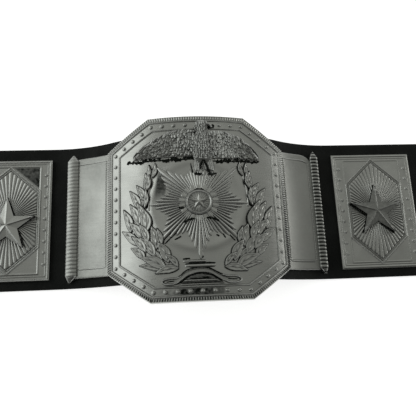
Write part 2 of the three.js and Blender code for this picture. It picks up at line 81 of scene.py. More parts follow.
def shell(rings, tone=0.0, looped=False):
    """Closed body through rings of points: quads join each ring to the next, and unless the rings
    loop back to the first, each end ring closes on its mean point. tone is kept for each point."""
    count, across = rings.shape[:2]
    tone = np.broadcast_to(tone, (count, across))
    spans = count if looped else count - 1
    ring, place = np.meshgrid(np.arange(spans), np.arange(across), indexing="ij")
    ahead = (ring + 1) % count * across
    beside = (place + 1) % across
    here = ring * across
    quads = np.stack([here + place, here + beside, ahead + beside, ahead + place], -1)
    points, tones, faces = rings.reshape(-1, 3), tone.ravel(), [quads.reshape(-1, 4)]
    if looped:
        return points, tones, faces
    for end, turn in ((0, -1), (count - 1, 1)):
        edge = end * across + np.arange(across)
        middle = np.full(across, len(points))
        faces.append(np.stack([edge, np.roll(edge, -1), middle], -1)[:, ::turn])
        points = np.vstack([points, rings[end].mean(0)])
        tones = np.append(tones, tone[end].mean())
    return points, tones, faces


def outward(points, faces):
    """1 if a closed body's signed volume, the sum of a . (b x c) over its triangles, is positive, and
    -1 if the faces have to be turned round to point out."""
    volume = 0.0
    for sides in faces:
        for k in range(1, sides.shape[1] - 1):
            a, b, c = points[sides[:, 0]], points[sides[:, k]], points[sides[:, k + 1]]
            volume += np.einsum("ij,ij->", a, np.cross(b, c))
    return 1 if volume > 0 else -1


def put(name, data):
    """A new object in the scene."""
    made = bpy.data.objects.new(name, data)
    bpy.context.scene.collection.objects.link(made)
    return made


def add_piece(name, shells, material, nodes, side=1):
    """Bends flat shells onto the belt and joins them in one mesh that stands for the CAD nodes. Side
    -1 makes the left-hand twin, at -s. Faces that meet at more than the crease angle stay sharp."""
    points, tones, faces, before = [], [], [], 0
    for flat, tone, sides in shells:
        placed = bend(flat * (side, 1, 1))
        turn = outward(placed, sides)
        faces += [each[:, ::turn] + before for each in sides]
        points.append(placed)
        tones.append(tone)
        before += len(placed)
    corners = np.concatenate([each.ravel() for each in faces])
    sizes = np.concatenate([np.full(len(each), each.shape[1]) for each in faces])
    mesh = bpy.data.meshes.new(name)
    mesh.vertices.add(before)
    mesh.vertices.foreach_set("co", np.concatenate(points).ravel())
    mesh.loops.add(len(corners))
    mesh.loops.foreach_set("vertex_index", corners)
    mesh.polygons.add(len(sizes))
    mesh.polygons.foreach_set("loop_start", np.cumsum(sizes) - sizes)
    mesh.polygons.foreach_set("use_smooth", np.ones(len(sizes), bool))
    mesh.update(calc_edges=True)
    mesh.set_sharp_from_angle(angle=math.radians(CREASE_ANGLE))
    tone_layer = mesh.attributes.new("tone", "FLOAT", "POINT")
    tone_layer.data.foreach_set("value", np.concatenate(tones).astype(np.float32))
    mesh.materials.append(material)
    piece = put(name, mesh)
    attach(piece, "root")
    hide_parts(*nodes)


def node(tree, kind, inputs=None, **settings):
    """Adds a shader node. inputs gives each socket a value, or a socket to be linked from."""
    made = tree.nodes.new(kind)
    for key, value in settings.items():
        setattr(made, key, value)
    for key, value in (inputs or {}).items():
        if isinstance(value, bpy.types.NodeSocket):
            tree.links.new(value, made.inputs[key])
        else:
            made.inputs[key].default_value = value
    return made


def noise(tree, place, scale, detail=3.0, roughness=0.5):
    """A noise pattern's strength, 0 to 1, at that many cells to the metre."""
    settings = {"Vector": place, "Scale": scale, "Detail": detail, "Roughness": roughness}
    return node(tree, "ShaderNodeTexNoise", settings).outputs["Fac"]


def maths(tree, operation, first, second):
    """One step of arithmetic on two values, each a number or a socket."""
    return node(tree, "ShaderNodeMath", {0: first, 1: second}, operation=operation).outputs[0]


def blend(tree, share, low, high):
    """Mixes two colours, low at share 0 and high at share 1."""
    return node(tree, "ShaderNodeMix", {0: share, 6: low, 7: high}, data_type="RGBA").outputs[2]


def spread(tree, value, from_low, from_high, to_low, to_high):
    """Maps one range of values to another, and holds it there."""
    ranges = {"Value": value, 1: from_low, 2: from_high, 3: to_low, 4: to_high}
    return node(tree, "ShaderNodeMapRange", ranges).outputs["Result"]


def bump(tree, height, strength, distance):
    """Bumps the shader's normal by a height pattern."""
    relief = node(tree, "ShaderNodeBump", {"Height": height, "Strength": strength, "Distance": distance})
    tree.links.new(relief.outputs["Normal"], tree.nodes["Principled BSDF"].inputs["Normal"])


def new_material(name):
    """A new material, its tree and its shader, with the piece's Object coordinates and its tone."""
    material = bpy.data.materials.new(name)
    material.use_nodes = True
    tree = material.node_tree
    place = node(tree, "ShaderNodeTexCoord").outputs["Object"]
    tone = node(tree, "ShaderNodeAttribute", attribute_name="tone").outputs["Fac"]
    return material, tree, tree.nodes["Principled BSDF"], place, tone


def leather():
    """Black grained leather: Voronoi pebbles and fine pores on the face, rough fibres where tone is
    1, on the flesh side."""
    material, tree, shader, place, flesh = new_material("black_leather")
    worn = spread(tree, noise(tree, place, 26, 4.0, 0.6), 0.42, 0.72, 0.0, 1.0)
    face = blend(tree, worn, *LEATHER_FACE)
    fibres = blend(tree, noise(tree, place, 900, 5.0, 0.7), *LEATHER_FLESH)
    tree.links.new(blend(tree, flesh, face, fibres), shader.inputs["Base Color"])
    matt = spread(tree, noise(tree, place, 60, 4.0), 0.3, 0.7, 0.58, 0.72)
    tree.links.new(maths(tree, "MAXIMUM", matt, flesh), shader.inputs["Roughness"])
    shader.inputs["Specular IOR Level"].default_value = 0.2
    pebbles = node(tree, "ShaderNodeTexVoronoi", {"Vector": place, "Scale": 620.0}, feature="SMOOTH_F1")
    grain = maths(tree, "ADD", pebbles.outputs["Distance"], noise(tree, place, 2600, 4.0, 0.65))
    creases = maths(tree, "MULTIPLY", noise(tree, place, 90, 5.0, 0.6), 1.6)
    bump(tree, maths(tree, "ADD", grain, creases), 0.45, 0.00035)
    return material


def unit(value):
    """Holds a value between 0 and 1."""
    return np.clip(value, 0, 1)


def strap_half(reach):
    """Half the strap's height at a distance from its middle: full, then a straight taper, then a
    quarter round of the corner's radius."""
    to_corner = STRAP_LENGTH / 2 - STRAP_CORNER
    half = np.interp(reach, [STRAP_TAPER, to_corner], [STRAP_HEIGHT / 2, STRAP_END_HEIGHT / 2])
    share = unit((reach - to_corner) / STRAP_CORNER)
    return half - STRAP_CORNER * (1 - np.sqrt(1 - share**2))


def strap_rings():
    """Rings along s. Each is the section's round-edged rectangle: y = middle + v half(s), with the
    edge's quarter rounds drawn in where the leather ends, and a slight wave on the face."""
    corner_turns = np.linspace(0, math.pi / 2, 18)[1:]
    plain = np.arange(0, STRAP_LENGTH / 2 - STRAP_CORNER, 2.2)
    reach = np.concatenate([plain, STRAP_LENGTH / 2 - STRAP_CORNER * (1 - np.sin(corner_turns))])
    s = np.concatenate([-reach[:0:-1], reach])[:, None]
    turn = np.radians([0, 22.5, 45, 67.5, 90])
    face = np.linspace(-1, 1, 42)[1:-1]
    back = np.linspace(1, -1, 14)[1:-1]
    share = np.concatenate([-np.ones(5), face, np.ones(10), back, -np.ones(5)])
    sine, cosine = np.sin(turn), np.cos(turn)
    out = np.concatenate([-sine[::-1], 0 * face, sine, cosine, 0 * back, -cosine[::-1]])
    up = np.concatenate([cosine[::-1], 0 * face + 1, cosine, -sine, 0 * back - 1, -sine[::-1]])
    past = np.clip(np.abs(s) - (STRAP_LENGTH / 2 - STRAP_EDGE), 0, STRAP_EDGE)
    shrink = STRAP_EDGE - np.sqrt(STRAP_EDGE**2 - past**2)
    half = strap_half(np.abs(s)) - STRAP_EDGE
    y = STRAP_MIDDLE + share * half + out * STRAP_EDGE
    flat_half = STRAP_THICK / 2 - STRAP_EDGE
    h = STRAP_THICK / 2 + up * (STRAP_EDGE - shrink) + np.sign(up) * flat_half
    wave = np.sin(s / 17) * np.sin(y / 13 + s / 41) + 0.6 * np.sin(s / 7.3 + y / 9.1)
    h = h + np.where(up > 0.9, STRAP_WAVE * wave * (np.abs(share) < 1), 0)
    flesh = np.broadcast_to(np.where(up < -0.9, 1.0, 0.0), h.shape)
    return np.stack(np.broadcast_arrays(s, y, h), -1), flesh


add_piece("belt_strap", [shell(*strap_rings())], leather(), ["strap"])

# Side plates
# Cast rectangular plates, plated and left with dark polish in their recesses. Each has a rim, a frame
# of raised lines and pips, a hexagon of fluted rays, and a five-pointed star with sharp ridges.
PLATE_BACK = 3.3
SIDE_INNER = FOOT
SIDE_WIDTH = 78.4
SIDE_MIDDLE = SIDE_INNER + SIDE_WIDTH / 2
SIDE_HALF_HEIGHT = 56.2
SIDE_TOP = 6
SIDE_PIP_INSET = 6.2
SIDE_PIP_PITCH = 10.4
SIDE_PIP_COUNT = 9
SIDE_PIP = {"radius": 1.45, "height": 1, "dark": 0.4}
FRAME_HALF = (SIDE_WIDTH / 2 - 10.4, SIDE_HALF_HEIGHT - 5.4)
HEXAGON = {"half_width": 28, "half_side": 26.5}
RAYS = {"flutes": 64, "peak": 2.7, "rim": 1.2, "depth": 0.75}
SIDE_STAR = {"tip": 26, "valley": 10.4, "edge": 4.2, "peak": 5.5, "crest": 0.35}
# Each plate's marks are runs of dark strips painted as shadow along its star's lower edges.
SIDE_PLATES = {
    "right": {
        "half_height": 52.3, "shift": 0, "star": (-1, -1.5), "darkness": 0, "extra_tone": 0.5, "relief": 0.55,
        "marks": [[(-27.4, 6.4), (-18.8, -0.4), (-11.6, -5.8)], [(0.3, -13.8), (7.2, -18.8), (14.8, -24)]],
    },
    "left": {
        "half_height": 50.4, "shift": -1.8, "star": (-1, -5.8), "darkness": 0.72, "extra_tone": 0, "relief": 1,
        "marks": [[(-2.2, 17.5), (-5.2, 9.5), (-7.8, 3)], [(-12, -10.4), (-14.6, -17.5), (-17, -24.5)]],
    },
}
STAR_SHADOW = {"half": 0.5, "jag": 0.05, "base": SIDE_TOP + 2.5}


def cast_metal(name, bright, dark, matt):
    """Plated cast metal: bright on its crests, and dark and matt where tone is near 1: dark polish in
    the recesses and, in places, painted shade. Clouds of tarnish, fine wipe marks and a cast grain vary
    its colour, roughness and bump."""
    material, tree, shader, place, tone = new_material(name)
    shader.inputs["Metallic"].default_value = 1.0
    clouds = noise(tree, place, 38, 5.0, 0.6)
    stretched = {"Vector": place, "Rotation": (0, 0, 0.5), "Scale": (60, 900, 60)}
    wiped = noise(tree, node(tree, "ShaderNodeMapping", stretched).outputs["Vector"], 1.0, 3.0)
    patchy = spread(tree, noise(tree, place, 420, 4.0, 0.6), 0.3, 0.7, 0.8, 1.2)
    # The share of dark colour, from dark polish and from painted shade alike.
    darkness = spread(tree, maths(tree, "MULTIPLY", tone, patchy), 0.06, 0.95, 0.0, 1.0)
    dulled = tuple(0.88 * part for part in bright[:3]) + (1,)
    plated = blend(tree, spread(tree, clouds, 0.35, 0.7, 0.0, 1.0), bright, dulled)
    tree.links.new(blend(tree, darkness, plated, dark), shader.inputs["Base Color"])
    smooth = spread(tree, clouds, 0.3, 0.7, matt - 0.03, matt + 0.05)
    marked = maths(tree, "ADD", spread(tree, wiped, 0.3, 0.7, -0.03, 0.04), smooth)
    rough = maths(tree, "ADD", spread(tree, darkness, 0.0, 1.0, 0.0, 0.3), marked)
    tree.links.new(rough, shader.inputs["Roughness"])
    bump(tree, maths(tree, "ADD", noise(tree, place, 1500, 3.0), wiped), 0.16, 0.00012)
    return material


def inset(outline, distance):
    """Moves each side of a convex outline, given counter-clockwise, inwards by a distance."""
    corners = np.asarray(outline, float)
    ahead = np.roll(corners, -1, 0) - corners
    inward = np.stack([-ahead[:, 1], ahead[:, 0]], -1) / np.linalg.norm(ahead, axis=1)[:, None]
    offset = (inward * corners).sum(1) + distance
    before, back = np.roll(inward, 1, 0), np.roll(offset, 1)
    cross = before[:, 0] * inward[:, 1] - before[:, 1] * inward[:, 0]
    s = (back * inward[:, 1] - offset * before[:, 1]) / cross
    y = (before[:, 0] * offset - inward[:, 0] * back) / cross
    return np.stack([s, y], -1)


def round_outline(outline, insides, pitch):
    """Points round an outline, for each inset of a profile: each side is cut into the same even steps
    at every inset, so the profile meets itself at the mitred corners."""
    loops = np.stack([inset(outline, inside) for inside in insides])
    ahead = np.roll(loops, -1, 1)
    runs = []
    for side in range(loops.shape[1]):
        length = np.linalg.norm(ahead[0, side] - loops[0, side])
        share = np.arange(steps := max(2, round(length / pitch)))[:, None, None] / steps
        runs.append(loops[:, side] * (1 - share) + ahead[:, side] * share)
    return np.concatenate(runs)


def moulding(outline, inside, width, base, height, pitch=2.0, dark=1.0):
    """A raised line round an outline, a half-round on a dark foot: rows of inset, height and tone
    turned into a loop of equal sections."""
    share = np.array([-0.5, -0.12, 0.05, 0.25, 0.5, 0.75, 0.95, 1.12, 1.5])
    lift = np.array([0.02, 0.14, 0.55, 0.9, 1, 0.9, 0.55, 0.14, 0.02])
    tone = dark * np.array([0.55, 1, 0.55, 0, 0, 0, 0.55, 1, 0.55, 1, 1])
    insides = np.concatenate([inside + width * share, inside + width * np.array([1.5, -0.5])])
    heights = np.concatenate([base + height * lift, [base - 0.5, base - 0.5]])
    places = round_outline(outline, insides, pitch)
    rings = np.dstack([places, np.broadcast_to(heights, places.shape[:2])])
    return shell(rings, tone, looped=True)


def turned(centre, r, h, turn, tone):
    """A turned body: rings of radius r and height h round a centre, with a point at each turn."""
    s = centre[0] + r * np.cos(turn)
    y = centre[1] + r * np.sin(turn)
    return shell(np.stack(np.broadcast_arrays(s, y, h), -1), tone)


def dome(centre, radius, base, height, sides=18, dark=1.0):
    """A round boss: rings of radius r and height near (1 - r^4)^0.6, on a flared foot with dark polish,
    which painted shade makes darkest on its lower right, the side turned from the key light."""
    share = np.array([1.45, 1.45, 1.12, 0.98, 0.9, 0.72, 0.5, 0.28, 0.08])[:, None]
    lift = np.array([-0.4, 0.02, 0.08, 0.3, 0.54, 0.83, 0.96, 0.99, 1])[:, None]
    tone = dark * np.array([1, 0.3, 1, 0.7, 0.1, 0, 0, 0, 0])[:, None]
    turn = 2 * math.pi * np.arange(sides) / sides
    # Painted shade: the foot's dark polish is deepened on the lower right, away from the light.
    tone = tone * (0.6 + 0.4 * np.cos(turn + 0.7))
    return turned(centre, radius * share, base + height * lift, turn, tone)


def slab(s, low, high, top, base, rows, radius=0.8, tone=0.0):
    """A plate through stations s, from y = low(s) to high(s), in so many rows: its top is a height or a
    function of s and y, with its long edges rounded by r (1 - sqrt(1 - (1 - d / r)^2)) at a distance d
    from them."""
    rim = np.array([0, 0.08, 0.25, 0.5, 1]) * radius
    y = low[:, None] + np.linspace(0, 1, rows) * (high - low)[:, None]
    y = np.sort(np.concatenate([low[:, None] + rim, y[:, 1:-1], high[:, None] - rim[::-1]], 1), 1)
    from_edge = np.minimum(y - low[:, None], high[:, None] - y)
    rounding = radius * (1 - np.sqrt(1 - (1 - unit(from_edge / radius)) ** 2))
    place = np.broadcast_to(s[:, None], y.shape)
    h = (top(place, y) if callable(top) else top) - rounding
    under = high[:, None] + (low - high)[:, None] * np.linspace(0, 1, 6)
    below = ((0, 0), (0, under.shape[1]))
    rings = np.stack([
        np.pad(place, below, mode="edge"),
        np.concatenate([y, under], 1),
        np.pad(h, below, constant_values=base),
    ], -1)
    tones = tone(place, y) if callable(tone) else np.full(y.shape, tone)
    return shell(rings, np.pad(tones, below, constant_values=0.3))


def reach_to(outline, bearing):
    """Distance from (0, 0) to a convex or star-shaped outline along each bearing: the ray meets the
    side a + t (b - a) where cross(direction, a + t (b - a)) is 0, and 0 <= t <= 1."""
    corners = np.asarray(outline, float)
    ahead = np.roll(corners, -1, 0) - corners
    c, s = np.cos(bearing)[:, None], np.sin(bearing)[:, None]
    cross = c * ahead[:, 1] - s * ahead[:, 0]
    cross = np.where(np.abs(cross) < 1e-9, 1e-9, cross)
    reach = (corners[:, 0] * ahead[:, 1] - corners[:, 1] * ahead[:, 0]) / cross
    share = (corners[:, 0] * s - corners[:, 1] * c) / cross
    return np.where((reach > 0) & (share > -1e-6) & (share < 1 + 1e-6), reach, 0).max(1)


def rays(centre, reach, flutes, base, peak, rim, depth, samples=8, steps=26, lit=0.85, twist=0.0,
         calm=0.0):
    """Fluted rays: rings of growing radius round a centre. Across each flute the height falls from a
    rounded ridge to a sharp groove, depth |cos|^0.7, and outwards it falls from the peak to the rim.
    The grooves' black carries painted shade: 0.9 black at the bottom of the fan and only lit black
    at its top, where the light falls. Twist turns it, and calm makes the topmost flutes shallower, by
    exp(-(cos / 0.38)^2)."""
    turn = 2 * math.pi * (np.arange(flutes * samples) + 0.5) / (flutes * samples)
    across = np.abs(np.cos(turn * flutes / 2)) ** 0.7
    share = np.concatenate([np.linspace(0.04, 0.985, steps), [1.0, 1.015, 1.015]])[:, None]
    bearing = turn + twist
    topmost = np.exp(-((np.cos(bearing) / 0.38) ** 2)) * (np.sin(bearing) > 0)
    grow = unit(share * 2.2) * (1 - calm * topmost)
    h = base + peak + (rim - peak) * share - depth * grow * (1 - across)
    h[-3:] = base + np.array([rim * 0.55, 0.05, -0.5])[:, None]
    # Painted shade: the grooves are darkest at the bottom of the fan and palest at its lit top.
    tone = (lit + (0.9 - lit) * (0.5 - 0.5 * np.sin(bearing))) * grow * (1 - across) ** 1.3
    tone[-3:] = np.maximum(tone[-3:], 0.35)
    return turned(centre, reach(turn) * share, h, bearing, tone)


def faceted_star(centre, tip, valley, base, edge, peak, skirt=0.9, splits=14, crest=0.0):
    """A faceted five-pointed star: rings shrink to the centre while the height climbs from the edge to
    the peak, so that a ridge, sharpened by crest exp(-(aside / 0.6)^2), runs to each tip and a crease
    to each notch. Its walls are dark and flare at the foot."""
    corner = math.pi * (0.5 + np.arange(10) / 5)
    reach = np.tile([tip, valley], 5)
    corners = np.stack([reach * np.cos(corner), reach * np.sin(corner)], -1)
    share = (np.arange(splits) / splits)[None, :, None]
    edges = (corners[:, None] * (1 - share) + np.roll(corners, -1, 0)[:, None] * share).reshape(-1, 2)
    out = edges / np.linalg.norm(edges, axis=1)[:, None]
    shrink = np.array([1, 1, 1, 1, 0.97, 0.8, 0.6, 0.4, 0.2, 0.05])[:, None, None]
    push = np.array([skirt, skirt, 0.25, 0, 0, 0, 0, 0, 0, 0])[:, None, None]
    flat = np.asarray(centre, float) + edges * shrink + out * push
    climb = edge + (peak - edge) * (1 - shrink[3:, 0, 0])
    h = base + np.concatenate([[-0.5, 0.04, 0.3], climb])
    h[3] -= 0.25
    fifth = 2 * math.pi / 5
    bearing = np.arctan2(edges[:, 1], edges[:, 0]) - math.pi / 2
    ridge_turn = np.round(bearing / fifth) * fifth + math.pi / 2
    aside = np.abs(edges[:, 0] * np.sin(ridge_turn) - edges[:, 1] * np.cos(ridge_turn))
    sharpened = crest * np.exp(-((aside * shrink[:, :, 0] / 0.6) ** 2)) * (np.arange(10) > 3)[:, None]
    tone = np.array([1, 0.85, 1, 0.75, 0.05, 0, 0, 0, 0, 0])[:, None]
    return shell(np.dstack([flat, h[:, None] + sharpened]), tone)


def box_outline(middle, half_s, half_y):
    """A rectangle's corners, counter-clockwise."""
    near, far = middle - half_s, middle + half_s
    return [(near, -half_y), (far, -half_y), (far, half_y), (near, half_y)]


def through(points, count):
    """A smooth path through points, a Catmull-Rom curve: between p1 and p2, at t from 0 to 1, it is
    (2 p1 + (p2 - p0) t + (2 p0 - 5 p1 + 4 p2 - p3) t^2 + (3 p1 - p0 - 3 p2 + p3) t^3) / 2."""
    knots = np.asarray(points, float)
    knots = np.vstack([2 * knots[0] - knots[1], knots, 2 * knots[-1] - knots[-2]])
    place = np.linspace(0, len(knots) - 3, count)
    first = np.minimum(place.astype(int), len(knots) - 4)
    t = (place - first)[:, None]
    p0, p1, p2, p3 = (knots[first + k] for k in range(4))
    square, cube = 2 * p0 - 5 * p1 + 4 * p2 - p3, 3 * p1 - p0 - 3 * p2 + p3
    return (2 * p1 + (p2 - p0) * t + square * t**2 + cube * t**3) / 2


def drawn(points, step, least):
    """A smooth path through points, in steps of about that length, and the distance along it."""
    length = np.linalg.norm(np.diff(np.asarray(points, float), axis=0), axis=1).sum()
    path = through(points, max(least, int(length / step)))
    return path, np.linspace(0, length, len(path))


def over_foot(s, y, h, foot):
    """Rings of a top surface closed below: each row's last and first points come again at the foot."""
    top = np.stack(np.broadcast_arrays(s, y, h), -1)
    return np.concatenate([top, top[:, [-1, 0]] * (1, 1, 0) + (0, 0, foot)], 1)


def strip(path, half, height, tone, foot):
    """A body laid along a flat path: its top is path(t) + q half(t) normal(t), for q from -1 to 1, at
    height(t, q), and its underside lies flat at the foot."""
    step = np.gradient(path, axis=0)
    normal = np.stack([-step[:, 1], step[:, 0]], -1) / np.linalg.norm(step, axis=1)[:, None]
    reach = half[:, None] * np.linspace(-1, 1, height.shape[1])
    s, y = (path[:, [k]] + reach * normal[:, [k]] for k in (0, 1))
    tones = np.pad(np.broadcast_to(tone, height.shape), ((0, 0), (0, 2)), mode="edge")
    return shell(over_foot(s, y, height, foot), tones)


def ridge(points, half, height, base, tone=0.0, dark=1.0, power=0.5):
    """A thin raised line along a path, with its two ends tapered. Its section is (1 - (q / 0.72)^2) to
    a power: half-round at 0.5, softer above, on a dark foot."""
    path, _ = drawn(points, 0.9, 8)
    t = np.linspace(-1, 1, len(path))[:, None]
    q = np.linspace(-1, 1, 11)
    ends = np.sqrt(1 - np.abs(t) ** 12 * 0.98)
    lift = unit(1 - (q / 0.72) ** 2) ** power
    tones = unit(np.where(lift > 0.5, tone, dark) * np.ones_like(t))
    return strip(path, half * 1.4 * ends[:, 0], base + 0.03 + height * lift * ends, tones, base - 0.4)


def painted_shadow_strip(run, half, jag, base, seed):
    """Painted shadow beside the relief, with the black polish of a narrow recess: a thin dark strip
    whose edges may be ragged. Its half width is half (1 + jag (sum of sines)), and its ends are round."""
    path, along = drawn(run, 0.5, 10)
    t = np.linspace(-1, 1, len(path))
    waves = ((1, 1.9, 1), (0.7, 3.7, 2), (0.4, 7.1, 1))
    rough = sum(size * np.sin(along * pace + turn * seed) for size, pace, turn in waves)
    width = half * np.sqrt(1 - 0.97 * np.abs(t) ** 8) * (1 + jag * rough)
    q = np.linspace(-1, 1, 7)
    h = base + 0.06 + 0.1 * (1 - q**2) * np.ones((len(path), 1))
    return strip(path, width, h, 1.0, base - 0.4)


def side_plate(half_height, shift, star, darkness, extra_tone, relief, marks):
    """A plate's shells: slab, rim and frame lines, pips, double hexagon, rays, star and the dark strips
    painted as shadow along the star's shaded edges. shift moves the pattern, the fourth argument darkens
    the field's upper inner corner, the fifth darkens the star, and relief scales the frame lines' height."""
    stations = np.linspace(SIDE_INNER, SIDE_INNER + SIDE_WIDTH, 80)
    ends = np.full(80, SIDE_HALF_HEIGHT)
    wide, side = HEXAGON["half_width"], HEXAGON["half_side"]
    middle, frame_middle = SIDE_MIDDLE + shift, SIDE_MIDDLE + shift / 2

    def worn(s, y):
        """Thin clouds all over, and a darker patch above the hexagon's upper inner side."""
        over = y - side - (half_height - side) * (s - middle + wide) / wide
        corner = unit(over / 2) * unit((half_height - y) / 1.5) * unit(s - middle + wide)
        patchy = 0.94 + 0.06 * np.sin(s / 1.9) * np.sin(y / 2.3)
        return 0.1 + 0.08 * np.sin(s / 5.1) * np.sin(y / 7.7) + darkness * corner * patchy

    shells = [slab(stations, -ends, ends, SIDE_TOP, PLATE_BACK, 110, tone=worn)]
    rim = box_outline(SIDE_MIDDLE, SIDE_WIDTH / 2, SIDE_HALF_HEIGHT)
    frame_line = box_outline(frame_middle, *FRAME_HALF)
    right_half = [(0, -half_height), (wide, -side), (wide, side)]
    hexagon = right_half + [(-s, -y) for s, y in right_half]
    placed = [(s + middle, y) for s, y in hexagon]
    lines = [
        (rim, 0.75, 1.4, 0.7 * relief, 0.15),
        (rim, 3.3, 0.8, 0.4 * relief, 0.15),
        (frame_line, 0, 1.2, 0.42 * relief, 0.22),
        (placed, 0, 1.2, 0.95, 0.22),
        (placed, 2.1, 0.9, 0.85, 0.25),
    ]
    for outline, inside, width, height, dark in lines:
        shells.append(moulding(outline, inside, width, SIDE_TOP, height, dark=dark))
    rays_edge = inset(hexagon, 3.4)
    shells.append(rays((middle, 0), lambda turn: reach_to(rays_edge, turn), base=SIDE_TOP, **RAYS))
    centre = (SIDE_MIDDLE + star[0], star[1])
    points, tone, faces = faceted_star(centre, base=SIDE_TOP, **SIDE_STAR)
    shells.append((points, unit(tone + extra_tone), faces))
    for hand in (-1, 1):
        for place in range(SIDE_PIP_COUNT):
            y = (place - (SIDE_PIP_COUNT - 1) / 2) * SIDE_PIP_PITCH
            s = frame_middle + hand * (SIDE_WIDTH / 2 - SIDE_PIP_INSET)
            shells.append(dome((s, y), base=SIDE_TOP, **SIDE_PIP))
    # Painted shadow: dark strips along the star's lower edges.
    for seed, run in enumerate(marks):
        run = [(SIDE_MIDDLE + s, y) for s, y in run]
        shells.append(painted_shadow_strip(run, seed=seed, **STAR_SHADOW))
    return shells


plating = cast_metal("antique_nickel", (0.47, 0.475, 0.46, 1), (0.012, 0.014, 0.012, 1), 0.27)
for hand, side in (("right", 1), ("left", -1)):
    shells = side_plate(**SIDE_PLATES[hand])
    add_piece(f"cast_side_plate_{hand}", shells, plating, [f"side_plate_{hand}"], side)

# Wing panels
# Smooth cast panels that carry the octagon's line down to the strap. Each has thin raised lines near
# its edges and ends in a half-round bar of ribs with pointed ends, cast in one with it.
WING_INNER = SHOULDER + 0.3
WING_OUTER = 117.4
WING_HALF_HEIGHT = 56
WING_TOP = 6.2
WING_CORNER_RADIUS = 13
# Painted light: the left-hand wing, which faces the key light, has far less dark in its bar's grooves and
# at its lines' feet than the right-hand one.
WINGS = {
    "right": {"rounding": 8.5, "half_bar": 4.5, "notch": 0.26, "polish": 1.0, "line_polish_and_shade": 0.4},
    "left": {"rounding": 1.5, "half_bar": 6, "notch": 0.11, "polish": 0.2, "line_polish_and_shade": 0.08},
}
WING_LINE = {"low": -48, "high": 6, "uprights": (84.2, 114.4), "half": 0.75, "height": 0.34}
WING_BEAD_PITCH = 2.1
WING_BEAD = {"radius": 0.62, "base": WING_TOP + 0.2, "height": 0.5, "sides": 8}
BAR = {"outer": 126, "crest": 2.8, "half_height": 59.5, "taper": 6, "lean": 2.2, "pitch": 3.4}


def wing(rounding, half_bar, notch, polish, line_polish_and_shade):
    """A panel and its bar. The panel's top edge falls by a quarter round towards the bar, the bottom
    stays straight, and the bar's crest is crest (1 - notch (1 - |sin|^0.8)) along y, with both ends
    tapered and the lower one leaning outwards. The polishes are how black the bar's grooves and the
    feet of the lines are: dark polish, with painted light that makes them paler on the left-hand wing
    and painted shade that deepens the bottom line's foot."""
    s = np.concatenate([np.linspace(WING_INNER, 104, 14), np.linspace(105, WING_OUTER, 14)])
    past = np.clip((s - (WING_OUTER - WING_CORNER_RADIUS)) / WING_CORNER_RADIUS, 0, 0.93)
    head = WING_HALF_HEIGHT - rounding * (1 - np.sqrt(1 - past**2))
    foot = -np.full_like(s, WING_HALF_HEIGHT)

    def worn(s, y):
        """Clouds of thin polish, darker towards the panel's ends and its bar."""
        clouds = 0.5 + 0.5 * np.sin(s / 6.3 + 0.8 * np.sin(y / 9.1)) * np.sin(y / 14.7 + s / 21)
        return 0.07 + 0.09 * clouds + 0.1 * unit((np.abs(y) - 18) / 30) + 0.08 * unit((s - 113) / 4)

    shells = [slab(s, foot, head, WING_TOP, PLATE_BACK, 60, tone=worn)]
    size = (WING_LINE["half"], WING_LINE["height"], WING_TOP)
    across = (s > 83) & (s < 114.5)
    low, high = WING_LINE["low"], head - WING_LINE["high"]
    shells.append(ridge(np.stack([s, high], -1)[across], *size, dark=line_polish_and_shade, power=1.5))
    # Painted shade: the bottom line's dark foot is deepened on its lower side.
    shells.append(ridge(np.stack([s, 0 * s + low], -1)[across], *size, dark=2.4 * line_polish_and_shade, power=1.0))
    for place in WING_LINE["uprights"]:
        top = np.interp(place, s, high)
        upright = [(place, low), (place, 0), (place, top)]
        shells.append(ridge(upright, *size, dark=line_polish_and_shade, power=1.5))
        for y in np.arange(low + 1, top, WING_BEAD_PITCH):
            shells.append(dome((place, y), dark=line_polish_and_shade, **WING_BEAD))
    y = np.linspace(-BAR["half_height"], BAR["half_height"], 481)
    taper = np.minimum(1, 0.12 + 0.88 * (BAR["half_height"] - np.abs(y)) / BAR["taper"])
    rib = np.abs(np.sin(math.pi * y / BAR["pitch"])) ** 0.8
    turn = np.linspace(-math.pi / 2, math.pi / 2, 15)
    swell = (taper * (1 - notch * (1 - rib)))[:, None]
    middle = (BAR["outer"] - half_bar + BAR["lean"] * (1 - taper) * (y < 0))[:, None]
    place = middle + half_bar * (taper[:, None] * (0.96 + 0.04 * rib[:, None])) * np.sin(turn)
    h = WING_TOP + BAR["crest"] * swell * unit(np.cos(turn)) ** 0.6
    groove = unit(1.5 * (1 - rib[:, None])) ** 0.7
    worn_edge = np.clip(1.5 - 0.9 * np.append(np.abs(turn + 0.1), [2, 2]), 0.15, 1)
    rings = over_foot(place, y[:, None], h, PLATE_BACK)
    shells.append(shell(rings, unit(polish * groove * worn_edge)))
    return shells


panel_plating = cast_metal("panel_nickel", (0.4, 0.405, 0.39, 1), (0.012, 0.014, 0.012, 1), 0.3)
for hand, side in (("right", 1), ("left", -1)):
    shells = wing(**WINGS[hand])
    add_piece(f"cast_wing_{hand}", shells, panel_plating, [f"wing_{hand}"], side)

